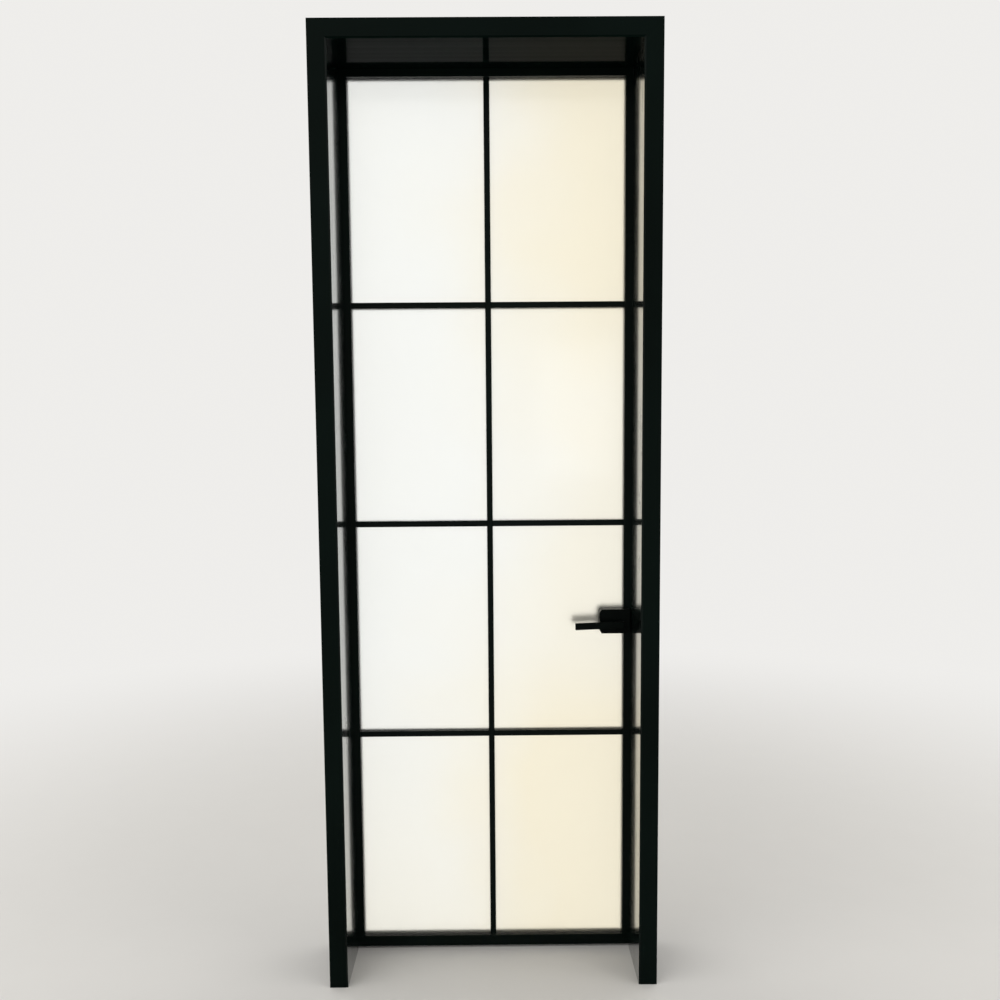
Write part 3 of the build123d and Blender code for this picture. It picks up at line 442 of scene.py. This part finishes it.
def make_mitre_group():
    """A hairline where two bars meet at 45 degrees, on both sides of the doorway."""
    group, inside, outside = new_group(
        "Mitre hairline",
        [("Vector", "NodeSocketVector", None), ("Corner X", "NodeSocketFloat", 0.4),
         ("Corner Z", "NodeSocketFloat", 2.4), ("Half Width", "NodeSocketFloat", 0.25 * MM)],
        [("Mask", "NodeSocketFloat")])
    x, _, z = split(group, inside.outputs["Vector"])
    outward = maths(group, "SUBTRACT", maths(group, "ABSOLUTE", x), inside.outputs["Corner X"])
    upward = maths(group, "SUBTRACT", z, inside.outputs["Corner Z"])
    apart = maths(group, "ABSOLUTE", maths(group, "SUBTRACT", outward, upward))
    line = maths(group, "DIVIDE", apart, math.sqrt(2.0))
    mask = remap(group, line, low=0.0, high=inside.outputs["Half Width"], to_low=1.0, to_high=0.0)
    group.links.new(mask, outside.inputs["Mask"])
    return group


EFFECTS = {
    "Powder coat": make_coat_group,
    "Smudges": make_smudge_group,
    "Settled dust": make_dust_group,
    "Die lines": make_die_line_group,
    "Mitre hairline": make_mitre_group,
}


def use_effect(tree, effect, **values):
    """A shared effect, made the first time it is asked for, with the values that a material gives it."""
    node = tree.nodes.new("ShaderNodeGroup")
    node.node_tree = bpy.data.node_groups.get(effect) or EFFECTS[effect]()
    for name, value in values.items():
        socket = node.inputs[name.replace("_", " ")]
        if isinstance(value, bpy.types.NodeSocket):
            tree.links.new(value, socket)
        else:
            socket.default_value = value
    return node


# Finishes


def coated_metal(name, tone, roughness, mirror, run, corner=None):
    """Black powder coat on an extrusion: peel, die lines, smudges, dust and the mitre's hairline."""
    material, tree, shader = new_material(name)
    place = place_vector(tree)
    coat = use_effect(tree, "Powder coat", Vector=place)
    marks = use_effect(tree, "Smudges", Vector=place, Amount=0.16)
    settled = use_effect(tree, "Settled dust", Vector=place, Amount=WIPED_DUST)
    lines = use_effect(tree, "Die lines", Vector=place, Along=run)
    colour = blend_colours(tree, coat.outputs["Drift"], *tone)
    colour = blend_colours(tree, settled.outputs["Mask"], colour, DUST)
    line_height = maths(tree, "MULTIPLY", lines.outputs["Height"], DIE_LINE_RELIEF)
    relief = maths(tree, "ADD", coat.outputs["Height"], line_height)
    if corner:
        hairline = use_effect(
            tree, "Mitre hairline", Vector=place, Corner_X=corner[0], Corner_Z=corner[1])
        colour = blend_colours(tree, hairline.outputs["Mask"], colour, HAIRLINE)
        sunk = maths(tree, "MULTIPLY", hairline.outputs["Mask"], HAIRLINE_DEPTH)
        relief = maths(tree, "SUBTRACT", relief, sunk)
    tree.links.new(colour, shader.inputs["Base Color"])
    satin = remap(
        tree, coat.outputs["Drift"], low=0.0, high=1.0,
        to_low=roughness - COAT_SPREAD, to_high=roughness + COAT_SPREAD)
    dull = maths(tree, "MULTIPLY", settled.outputs["Mask"], DUST_ROUGHNESS)
    dusty = maths(tree, "ADD", satin, dull)
    smudged = maths(tree, "ADD", marks.outputs["Roughness Shift"], dusty)
    tree.links.new(smudged, shader.inputs["Roughness"])
    shader.inputs["Specular IOR Level"].default_value = mirror
    bump(tree, shader, relief, strength=0.12, distance=0.05 * MM)
    return material


def gloss_reveal(material, axis, weight):
    """A clear gloss, in faint bands, on the faces that look into the doorway along one axis."""
    tree = material.node_tree
    shader = [node for node in tree.nodes if node.type == "BSDF_PRINCIPLED"][0]
    place = place_vector(tree)
    normal = tree.nodes.new("ShaderNodeNewGeometry").outputs["Normal"]
    side = maths(tree, "SIGN", split(tree, place)[axis])
    outward = maths(tree, "MULTIPLY", split(tree, normal)[axis], side)
    mask = remap(tree, outward, low=-0.95, high=-0.7, to_low=weight, to_high=0.0, smooth=True)
    in_depth = stretched(tree, place, (0.1, 45.0, 0.1))
    bands = noise(tree, in_depth, scale=1.0, detail=3.0, roughness=0.6)
    bands = remap(tree, bands, low=0.35, high=0.65, to_low=0.75, to_high=1.0)
    tree.links.new(maths(tree, "MULTIPLY", mask, bands), shader.inputs["Coat Weight"])
    shader.inputs["Coat Roughness"].default_value = GLOSS_ROUGHNESS


def cast_metal(name, colour, roughness):
    """Fine-textured black coat on cast and turned hardware, rubbed smoother where hands go."""
    material, tree, shader = new_material(name)
    place = place_vector(tree)
    coat = use_effect(tree, "Powder coat", Vector=place, Peel_Scale=1800.0, Drift_Scale=30.0)
    marks = use_effect(tree, "Smudges", Vector=place, Patch_Scale=40.0, Amount=-0.12)
    settled = use_effect(tree, "Settled dust", Vector=place, Amount=WIPED_DUST)
    shade = blend_colours(tree, coat.outputs["Drift"], colour, scaled(colour, 1.7))
    shade = blend_colours(tree, settled.outputs["Mask"], shade, DUST)
    tree.links.new(shade, shader.inputs["Base Color"])
    rubbed = maths(tree, "ADD", marks.outputs["Roughness Shift"], roughness)
    tree.links.new(rubbed, shader.inputs["Roughness"])
    shader.inputs["Specular IOR Level"].default_value = HARDWARE_MIRROR
    bump(tree, shader, coat.outputs["Height"], strength=0.25, distance=0.06 * MM)
    return material


def bare_metal(name, colour, roughness, along):
    """Bare metal with a fine grain and a dull stain here and there."""
    material, tree, shader = new_material(name)
    place = place_vector(tree)
    lines = use_effect(tree, "Die lines", Vector=place, Along=along)
    marks = use_effect(tree, "Smudges", Vector=place, Patch_Scale=60.0, Amount=0.2)
    shade = blend_colours(tree, marks.outputs["Mask"], colour, scaled(colour, 0.62))
    tree.links.new(shade, shader.inputs["Base Color"])
    shader.inputs["Metallic"].default_value = 1.0
    brushed = remap(
        tree, lines.outputs["Height"], low=0.3, high=0.7,
        to_low=roughness - METAL_SPREAD, to_high=roughness + METAL_SPREAD)
    smudged = maths(tree, "ADD", marks.outputs["Roughness Shift"], brushed)
    tree.links.new(smudged, shader.inputs["Roughness"])
    bump(tree, shader, lines.outputs["Height"], strength=0.2, distance=0.04 * MM)
    return material


def soft_rubber(name, colour):
    """Matt extruded rubber with fine lines and dust."""
    material, tree, shader = new_material(name)
    place = place_vector(tree)
    lines = use_effect(tree, "Die lines", Vector=place, Along=DRAWN_RUN)
    settled = use_effect(tree, "Settled dust", Vector=place, Amount=SEAL_DUST)
    shade = blend_colours(tree, lines.outputs["Height"], colour, scaled(colour, 1.6))
    shade = blend_colours(tree, settled.outputs["Mask"], shade, DUST)
    tree.links.new(shade, shader.inputs["Base Color"])
    matt = remap(tree, lines.outputs["Height"], low=0.3, high=0.7, to_low=0.6, to_high=0.75)
    tree.links.new(matt, shader.inputs["Roughness"])
    bump(tree, shader, lines.outputs["Height"], strength=0.3, distance=0.06 * MM)
    return material


def moulded_plastic(name, colour):
    """Dark moulded plastic with a fine spark-eroded grain."""
    material, tree, shader = new_material(name)
    place = place_vector(tree)
    grain = noise(tree, place, scale=1500.0)
    shade = blend_colours(tree, grain, colour, scaled(colour, 1.5))
    tree.links.new(shade, shader.inputs["Base Color"])
    matt = remap(tree, grain, low=0.3, high=0.7, to_low=0.45, to_high=0.6)
    tree.links.new(matt, shader.inputs["Roughness"])
    bump(tree, shader, grain, strength=0.3, distance=0.05 * MM)
    return material


def painted_backlight_warmth(tree, place):
    """How warm the painted light on the pane is: towards the lock side, less at mid-height and more near
    its foot.
    """
    # Painted light: this mask stands in for cool and warm light falling through the pane from behind
    x, _, z = split(tree, place)
    wander = noise(tree, place, scale=1.1, detail=3.0)
    wander = remap(tree, wander, low=0.3, high=0.7, to_low=-0.22, to_high=0.22)
    drift = maths(tree, "ADD", x, wander)
    across = remap(
        tree, drift, low=BACKLIGHT_TINT_SPAN * GLASS_LOW.x, high=BACKLIGHT_TINT_SPAN * GLASS_HIGH.x, smooth=True)
    middle = (GLASS_LOW.z + GLASS_HIGH.z) / 2
    off_middle = maths(tree, "ABSOLUTE", maths(tree, "SUBTRACT", z, middle))
    ends = remap(tree, off_middle, low=0.3, high=0.7, to_low=0.6, to_high=1.0, smooth=True)
    low_down = remap(tree, z, low=0.9, high=GLASS_LOW.z, to_low=0.0, to_high=0.4)
    warmth = maths(tree, "ADD", maths(tree, "MULTIPLY", across, ends), low_down)
    return maths(tree, "MINIMUM", warmth, 1.0)


def milky_glass(name, cool, warm):
    """Milky pane with polished faces, its white carrying painted light: cooler on the hinge side, warmer
    on the lock side.
    """
    material, tree, shader = new_material(name)
    place = place_vector(tree)
    # Painted light: cool light on the hinge side and warm light on the lock side, mixed into the pane's
    # white
    colour = blend_colours(tree, painted_backlight_warmth(tree, place), cool, warm)
    cloud = noise(tree, place, scale=3.0, detail=4.0, roughness=0.6)
    cloud = remap(tree, cloud, low=0.3, high=0.7, to_low=0.0, to_high=0.06)
    colour = blend_colours(tree, cloud, colour, CLOUD)
    tree.links.new(colour, shader.inputs["Base Color"])
    shader.inputs["Transmission Weight"].default_value = 0.94
    shader.inputs["IOR"].default_value = 1.5
    shader.inputs["Coat Weight"].default_value = 1.0
    shader.inputs["Coat Roughness"].default_value = 0.08
    upright = stretched(tree, place, (6.0, 6.0, 2.0))
    wiping = noise(tree, upright, scale=1.0, detail=5.0, roughness=0.6)
    wiping = remap(tree, wiping, low=0.3, high=0.7, to_low=0.35, to_high=0.41)
    tree.links.new(wiping, shader.inputs["Roughness"])
    ripple = noise(tree, place, scale=14.0, detail=1.0, roughness=0.4)
    bump(tree, shader, ripple, strength=0.05, distance=0.02 * MM)
    return material


def dress(material, *names):
    """A finish put on CAD nodes."""
    for name in names:
        for socket in NODES[name].material_slots:
            socket.material = material


def named(*starts):
    """The nodes whose names start so."""
    return [name for name in sorted(NODES) if name.startswith(starts)]


# Mesh helpers


def new_piece(name, shape, material, body, replaced):
    """A finished bmesh as a piece that rides on a body and stands for a node."""
    mesh = bpy.data.meshes.new(name)
    bmesh.ops.recalc_face_normals(shape, faces=shape.faces)
    shape.to_mesh(mesh)
    shape.free()
    mesh.materials.append(material)
    piece = bpy.data.objects.new(name, mesh)
    bpy.context.scene.collection.objects.link(piece)
    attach(piece, body)
    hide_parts(replaced)


def islands(name):
    """The separate solids of a node from the floor up, each as its lowest and highest corner."""
    shape = bmesh.new()
    shape.from_mesh(NODES[name].data)
    bmesh.ops.remove_doubles(shape, verts=shape.verts, dist=SAME_CORNER)
    left = set(shape.verts)
    found = []
    while left:
        ring = [left.pop()]
        points = []
        while ring:
            vertex = ring.pop()
            points.append(vertex.co.copy())
            for edge in vertex.link_edges:
                other = edge.other_vert(vertex)
                if other in left:
                    left.remove(other)
                    ring.append(other)
        low = Vector([min(point[axis] for point in points) for axis in range(3)])
        high = Vector([max(point[axis] for point in points) for axis in range(3)])
        found.append((low, high))
    shape.free()
    return sorted(found, key=lambda corners: (corners[0].z, corners[0].x))


def cut_away(shape, cutter):
    """One closed bmesh less another, whose own parts may overlap."""
    objects = []
    for part in (shape, cutter):
        mesh = bpy.data.meshes.new("cut")
        part.to_mesh(mesh)
        part.free()
        thing = bpy.data.objects.new("cut", mesh)
        bpy.context.scene.collection.objects.link(thing)
        objects.append(thing)
    modifier = objects[0].modifiers.new("Cut", "BOOLEAN")
    modifier.operation = "DIFFERENCE"
    modifier.solver = "EXACT"
    modifier.use_self = True
    modifier.object = objects[1]
    seen = objects[0].evaluated_get(bpy.context.evaluated_depsgraph_get())
    result = bmesh.new()
    result.from_mesh(seen.to_mesh())
    for thing in objects:
        mesh = thing.data
        bpy.data.objects.remove(thing)
        bpy.data.meshes.remove(mesh)
    if not result.faces:
        raise RuntimeError("The cut left nothing of the piece")
    return result


def cross_recess(settings):
    """A cross-shaped cutter, which reaches as far above the origin as below it."""
    span, width = settings.recess_span, settings.recess_width
    height = 2.0 * settings.recess_depth
    shape = bmesh.new()
    for size in ((span, width, height), (width, span, height)):
        made = bmesh.ops.create_cube(shape, size=1.0)["verts"]
        bmesh.ops.scale(shape, verts=made, vec=size)
    return shape


def countersunk_screw(settings, head_radius, shank_radius, head_height, length):
    """One countersunk screw along Z, its head's face at the origin."""
    shape = bmesh.new()
    bmesh.ops.create_cone(
        shape, cap_ends=True, segments=settings.sides, radius1=shank_radius, radius2=head_radius,
        depth=head_height, matrix=Matrix.Translation((0.0, 0.0, -head_height / 2)))
    base = min(shape.faces, key=lambda face: face.calc_center_median().z)
    made = bmesh.ops.extrude_face_region(shape, geom=[base])["geom"]
    points = [part for part in made if isinstance(part, bmesh.types.BMVert)]
    bmesh.ops.delete(shape, geom=[base], context="FACES_ONLY")
    bmesh.ops.translate(shape, verts=points, vec=(0.0, 0.0, head_height - length))
    rim = [
        edge for edge in shape.edges if all(abs(vertex.co.z) < SAME_POINT for vertex in edge.verts)]
    bmesh.ops.bevel(
        shape, geom=rim, offset=SCREW_RIM, offset_type="OFFSET", segments=2, profile=0.5,
        affect="EDGES", clamp_overlap=True, material=-1)
    return shape


def screw_set(settings, node):
    """Every screw of a node again, with a cross recess in its head."""
    result = bmesh.new()
    for low, high in islands(node):
        size = high - low
        middle = (low + high) / 2
        head_radius = size.z / 2
        screw = countersunk_screw(
            settings, head_radius, SCREW_SHANK * head_radius, SCREW_HEAD_HEIGHT, size.x)
        screw = cut_away(screw, cross_recess(settings))
        head_side = head_direction(node, low, high)
        turn = Matrix.Rotation(head_side * math.pi / 2, 4, "Y")
        spin = Matrix.Rotation(SCREW_SPIN * middle.z, 4, "Z")
        face = high.x if head_side > 0 else low.x
        place = Matrix.Translation((face, middle.y, middle.z))
        bmesh.ops.transform(screw, verts=screw.verts, matrix=place @ turn @ spin)
        add_to(result, screw)
    return result


def reach_at(node, low, high, side):
    """How far a screw reaches from its axis at one of its two ends."""
    middle = (low.z + high.z) / 2
    reach = 0.0
    for vertex in NODES[node].data.vertices:
        at_end = abs(vertex.co.x - side) < SAME_FACE
        if at_end and low.z <= vertex.co.z <= high.z:
            reach = max(reach, abs(vertex.co.z - middle))
    return reach


def head_direction(node, low, high):
    """1 where a screw's head looks to the lock side, -1 where it looks to the hinge side."""
    lock_end = reach_at(node, low, high, high.x)
    hinge_end = reach_at(node, low, high, low.x)
    return 1 if lock_end > hinge_end else -1


def add_to(target, part):
    """The faces of one bmesh put into another."""
    mesh = bpy.data.meshes.new("part")
    part.to_mesh(mesh)
    part.free()
    target.from_mesh(mesh)
    bpy.data.meshes.remove(mesh)


def pin_profile(settings, low, high):
    """Half the outline of a hinge pin, as radius and height from its foot to its top."""
    head_radius = (high.x - low.x) / 2
    pin_radius = PIN_SHANK * head_radius
    under_head = high.z - PIN_HEAD_HEIGHT
    dome = settings.head_dome
    profile = [
        (0.0, low.z),
        (pin_radius - PIN_FOOT, low.z),
        (pin_radius, low.z + PIN_FOOT),
        (pin_radius, under_head),
        (head_radius, under_head),
        (head_radius, high.z - dome),
    ]
    for step in range(1, DOME_STEPS + 1):
        angle = math.pi / 2 * step / DOME_STEPS
        profile.append((
            head_radius - dome + dome * math.cos(angle),
            high.z - dome + dome * math.sin(angle)))
    profile.append((0.0, high.z))
    return profile


def pin_set(settings):
    """The hinge pins again, with rounded heads and chamfered feet."""
    result = bmesh.new()
    for low, high in islands("hinge_pins"):
        middle = (low + high) / 2
        shape = bmesh.new()
        points = [
            shape.verts.new((middle.x + radius, middle.y, height))
            for radius, height in pin_profile(settings, low, high)
        ]
        edges = [shape.edges.new(pair) for pair in zip(points, points[1:])]
        bmesh.ops.spin(
            shape, geom=points + edges, cent=(middle.x, middle.y, 0.0), axis=(0.0, 0.0, 1.0),
            angle=2.0 * math.pi, steps=settings.sides, use_merge=True, use_duplicate=False)
        bmesh.ops.remove_doubles(shape, verts=shape.verts, dist=SAME_POINT)
        add_to(result, shape)
    return result


# Operators


class DOOR_OT_frame(bpy.types.Operator):
    """Coat the lining and the casings"""

    bl_idname = "door.dress_frame"
    bl_label = "Frame"

    def execute(self, context):
        finish = context.scene.door_finish
        _, jamb_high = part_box("lining_left")
        head_low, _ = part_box("lining_head")
        corner = (-jamb_high.x, head_low.z)
        tone = (finish.coat, finish.coat_sheen)
        satin, gloss = finish.casing_roughness, finish.lining_roughness
        casing = coated_metal("casing coat", tone, satin, CASING_MIRROR, UPRIGHT_RUN, corner)
        casing_level = coated_metal("casing coat, head", tone, satin, CASING_MIRROR, LEVEL_RUN, corner)
        lining = coated_metal("lining coat", tone, gloss, LINING_MIRROR, UPRIGHT_RUN, corner)
        lining_level = coated_metal("lining coat, head", tone, satin, HEAD_MIRROR, LEVEL_RUN, corner)
        gloss_reveal(lining, X_AXIS, JAMB_GLOSS)
        gloss_reveal(lining_level, Z_AXIS, HEAD_GLOSS)
        dress(casing, *[name for name in named("casing_") if not name.endswith("head")])
        dress(casing_level, *[name for name in named("casing_") if name.endswith("head")])
        dress(lining, "lining_left", "lining_right")
        dress(lining_level, "lining_head")
        return {"FINISHED"}


class DOOR_OT_leaf(bpy.types.Operator):
    """Coat the leaf's frame, beads and glazing bars"""

    bl_idname = "door.dress_leaf"
    bl_label = "Leaf"

    def execute(self, context):
        finish = context.scene.door_finish
        tone = (finish.coat, finish.coat_sheen)
        roughness = finish.leaf_roughness
        standing = coated_metal("leaf coat, uprights", tone, roughness, LEAF_MIRROR, UPRIGHT_RUN)
        lying = coated_metal("leaf coat, rails", tone, roughness, LEAF_MIRROR, LEVEL_RUN)
        dress(standing, "stile_hinge_side", "stile_lock_side", "glazing_bead_left", "glazing_bead_right",
              "glazing_bar_front_upright", "glazing_bar_back_upright")
        dress(lying, "rail_top", "rail_bottom", "glazing_bead_top", "glazing_bead_bottom",
              *[name for name in named("glazing_bar_") if "_cross_" in name])
        return {"FINISHED"}


class DOOR_OT_glass(bpy.types.Operator):
    """Make the pane milky, with painted cool and warm light on its white"""

    bl_idname = "door.dress_glass"
    bl_label = "Glass"

    def execute(self, context):
        finish = context.scene.door_finish
        dress(milky_glass("milky glass", finish.glass_painted_cool_light, finish.glass_painted_warm_light), "glass_pane")
        return {"FINISHED"}


class DOOR_OT_seals(bpy.types.Operator):
    """Dress the seals, packers and corner keys"""

    bl_idname = "door.dress_seals"
    bl_label = "Seals and keys"

    def execute(self, context):
        finish = context.scene.door_finish
        dress(soft_rubber("seal rubber", finish.rubber), *named("door_seal_", "glazing_seal_"))
        dress(moulded_plastic("packer plastic", PACKER), "setting_blocks", "strike_box")
        aluminium = bare_metal("mill aluminium", MILL_ALUMINIUM, finish.aluminium_roughness, KEY_RUN)
        dress(aluminium, "lining_corner_keys", "leaf_corner_keys")
        return {"FINISHED"}


class DOOR_OT_hardware(bpy.types.Operator):
    """Dress the lock, levers, hinges and latch"""

    bl_idname = "door.dress_hardware"
    bl_label = "Hardware"

    def execute(self, context):
        finish = context.scene.door_finish
        coat = cast_metal("hardware coat", finish.hardware, finish.hardware_roughness)
        dress(coat, "lock_cover_front", "lock_cover_back", "lever_front", "lever_back")
        dress(coat, *[name for name in named("hinge_") if name.endswith("_plate")])
        steel = bare_metal("plain steel", finish.steel, finish.steel_roughness, DRAWN_RUN)
        dress(steel, "lock_case", "lock_forend", "lever_spindle", "lever_hub", "lever_set_screws",
              "lock_cover_bolts", "latch_spring", "latch_bolt", "strike_plate")
        return {"FINISHED"}


class DOOR_OT_screws(bpy.types.Operator):
    """Make the screws with cross recesses"""

    bl_idname = "door.make_screws"
    bl_label = "Screws"

    def execute(self, context):
        finish = context.scene.door_finish
        steel = bare_metal("screw steel", finish.steel, finish.screw_roughness, EVEN_RUN)
        for node, body in (("frame_screws", "frame"), ("leaf_screws", "leaf")):
            shape = screw_set(context.scene.door_screws, node)
            new_piece(f"{node}_cross_head", shape, steel, body, node)
        return {"FINISHED"}


class DOOR_OT_pins(bpy.types.Operator):
    """Make the hinge pins with rounded heads"""

    bl_idname = "door.make_pins"
    bl_label = "Hinge pins"

    def execute(self, context):
        finish = context.scene.door_finish
        coat = cast_metal("pin coat", finish.hardware, finish.hardware_roughness)
        shape = pin_set(context.scene.door_screws)
        new_piece("hinge_pins_domed", shape, coat, "frame", "hinge_pins")
        return {"FINISHED"}


class DOOR_OT_stage(bpy.types.Operator):
    """Set up the floor, lamps, background and camera"""

    bl_idname = "door.set_stage"
    bl_label = "Stage"

    def execute(self, context):
        stage = context.scene.door_stage
        make_floor(stage)
        make_world(stage)
        make_lamps(stage)
        make_camera(stage)
        context.scene.view_settings.view_transform = "Standard"
        return {"FINISHED"}


# Stage


def make_floor(stage):
    """A wide pale floor."""
    shape = bmesh.new()
    bmesh.ops.create_circle(shape, cap_ends=True, segments=FLOOR_SIDES, radius=FLOOR_RADIUS)
    mesh = bpy.data.meshes.new("floor")
    shape.to_mesh(mesh)
    shape.free()
    floor = bpy.data.objects.new("floor", mesh)
    bpy.context.scene.collection.objects.link(floor)
    material, tree, shader = new_material("floor paint")
    place = place_vector(tree)
    grain = noise(tree, place, scale=6.0, detail=4.0, roughness=0.6)
    shade = blend_colours(tree, grain, stage.floor, scaled(stage.floor, 0.97))
    tree.links.new(shade, shader.inputs["Base Color"])
    shader.inputs["Roughness"].default_value = 0.55
    shader.inputs["Specular IOR Level"].default_value = 0.2
    far_off = remap(
        tree, distance_from_axis(tree, place), low=FADE_START, high=FADE_END, smooth=True)
    plain = tree.nodes.new("ShaderNodeEmission")
    plain.inputs["Color"].default_value = (*stage.backdrop, 1.0)
    mix = tree.nodes.new("ShaderNodeMixShader")
    output = [node for node in tree.nodes if node.type == "OUTPUT_MATERIAL"][0]
    seen, through = background_rays(tree)
    faded = maths(tree, "MULTIPLY", far_off, seen)
    strength = remap(tree, through, low=0.0, high=1.0, to_low=1.0, to_high=BEHIND_GLASS)
    tree.links.new(strength, plain.inputs["Strength"])
    tree.links.new(maths(tree, "MAXIMUM", faded, through), mix.inputs["Fac"])
    tree.links.new(shader.outputs["BSDF"], mix.inputs[1])
    tree.links.new(plain.outputs["Emission"], mix.inputs[2])
    tree.links.new(mix.outputs["Shader"], output.inputs["Surface"])
    mesh.materials.append(material)


def distance_from_axis(tree, vector):
    """How far a place is from the upright through the origin."""
    x, y, _ = split(tree, vector)
    squares = maths(tree, "ADD", maths(tree, "MULTIPLY", x, x), maths(tree, "MULTIPLY", y, y))
    return maths(tree, "SQRT", squares)


def background_rays(tree):
    """Whether a ray sees the background or its mirror image, and whether it comes through glass."""
    path = tree.nodes.new("ShaderNodeLightPath")
    seen = maths(tree, "MAXIMUM", path.outputs["Is Camera Ray"], path.outputs["Is Glossy Ray"])
    return seen, path.outputs["Is Transmission Ray"]


def make_world(stage):
    """A pale background, dimmer as a light than where it is seen, and brightest through the glass."""
    world = bpy.data.worlds.new("studio")
    world.use_nodes = True
    tree = world.node_tree
    tree.nodes.clear()
    output = tree.nodes.new("ShaderNodeOutputWorld")
    background = tree.nodes.new("ShaderNodeBackground")
    seen, through = background_rays(tree)
    strength = remap(tree, seen, low=0.0, high=1.0, to_low=AMBIENT, to_high=1.0)
    strength = remap(tree, through, low=0.0, high=1.0, to_low=strength, to_high=BEHIND_GLASS)
    background.inputs["Color"].default_value = (*stage.backdrop, 1.0)
    tree.links.new(strength, background.inputs["Strength"])
    tree.links.new(background.outputs["Background"], output.inputs["Surface"])
    bpy.context.scene.world = world


def area_lamp(name, power, place, target, size, colour):
    """A soft rectangular lamp that looks at a point and doesn't show through the glass."""
    lamp = bpy.data.lights.new(name, "AREA")
    lamp.shape = "RECTANGLE"
    lamp.size, lamp.size_y = size
    lamp.energy = power
    lamp.color = colour
    thing = bpy.data.objects.new(name, lamp)
    thing.visible_transmission = False
    thing.location = place
    thing.rotation_euler = (Vector(target) - Vector(place)).to_track_quat("-Z", "Y").to_euler()
    bpy.context.scene.collection.objects.link(thing)


def make_lamps(stage):
    """Large soft lamps in front, beside and behind, and a tall one that the pane mirrors."""
    middle = (0.0, 0.0, 1.25)
    area_lamp(
        "key", stage.key, place=(-3.2, -3.0, 3.8), target=middle, size=(5.6, 5.6), colour=SOFT_WHITE)
    area_lamp(
        "fill", stage.fill, place=(3.6, -2.2, 2.4), target=middle, size=(3.6, 3.6), colour=WARM_WHITE)
    for side in (-1, 1):
        area_lamp(
            "back", stage.back, place=(3.6 * side, 2.6, 2.8), target=middle, size=(3.6, 3.6),
            colour=BACK_WHITE)
    area_lamp(
        "window", stage.window, place=(0.58, -4.0, 1.7), target=(0.25, 0.1, 1.57), size=(0.52, 0.9),
        colour=WHITE)


def make_camera(stage):
    """The camera, at the photograph's angle."""
    data = bpy.data.cameras.new("camera")
    data.lens = stage.lens
    data.sensor_width = SENSOR_WIDTH
    data.shift_y = stage.rise
    camera = bpy.data.objects.new("camera", data)
    camera.rotation_mode = "QUATERNION"
    turned = Matrix.Rotation(stage.turn, 3, "Z")
    tilted = Matrix.Rotation(math.pi / 2 - stage.tilt, 3, "X")
    rolled = Matrix.Rotation(stage.roll, 3, "Z")
    camera.rotation_quaternion = (turned @ tilted @ rolled).to_quaternion()
    camera.location = (stage.aside, -stage.distance, stage.height)
    bpy.context.scene.collection.objects.link(camera)
    bpy.context.scene.camera = camera


class DOOR_PT_panel(bpy.types.Panel):
    """The door's settings and steps"""

    bl_idname = "DOOR_PT_panel"
    bl_label = "Door"
    bl_space_type = "VIEW_3D"
    bl_region_type = "UI"
    bl_category = "Door"

    def draw(self, context):
        for settings in ("door_finish", "door_screws", "door_stage"):
            box = self.layout.box()
            group = getattr(context.scene, settings)
            for name in group.__annotations__:
                box.prop(group, name)
        for step in STEPS:
            self.layout.operator(step.bl_idname)


STEPS = (
    DOOR_OT_stage,
    DOOR_OT_frame,
    DOOR_OT_leaf,
    DOOR_OT_glass,
    DOOR_OT_seals,
    DOOR_OT_hardware,
    DOOR_OT_screws,
    DOOR_OT_pins,
)
SETTINGS = {
    "door_finish": DoorFinishSettings,
    "door_screws": DoorScrewSettings,
    "door_stage": DoorStageSettings,
}
CLASSES = (*SETTINGS.values(), *STEPS, DOOR_PT_panel)


def register():
    """Make the settings, steps and panel known."""
    for each in CLASSES:
        bpy.utils.register_class(each)
    for name, group in SETTINGS.items():
        setattr(bpy.types.Scene, name, PointerProperty(type=group))


def unregister():
    """Take them away again."""
    for name in SETTINGS:
        delattr(bpy.types.Scene, name)
    for each in reversed(CLASSES):
        bpy.utils.unregister_class(each)


def main():
    """Run every step in order."""
    register()
    bpy.ops.door.set_stage()
    bpy.ops.door.dress_frame()
    bpy.ops.door.dress_leaf()
    bpy.ops.door.dress_glass()
    bpy.ops.door.dress_seals()
    bpy.ops.door.dress_hardware()
    bpy.ops.door.make_screws()
    bpy.ops.door.make_pins()


if __name__ == "__main__":
    main()
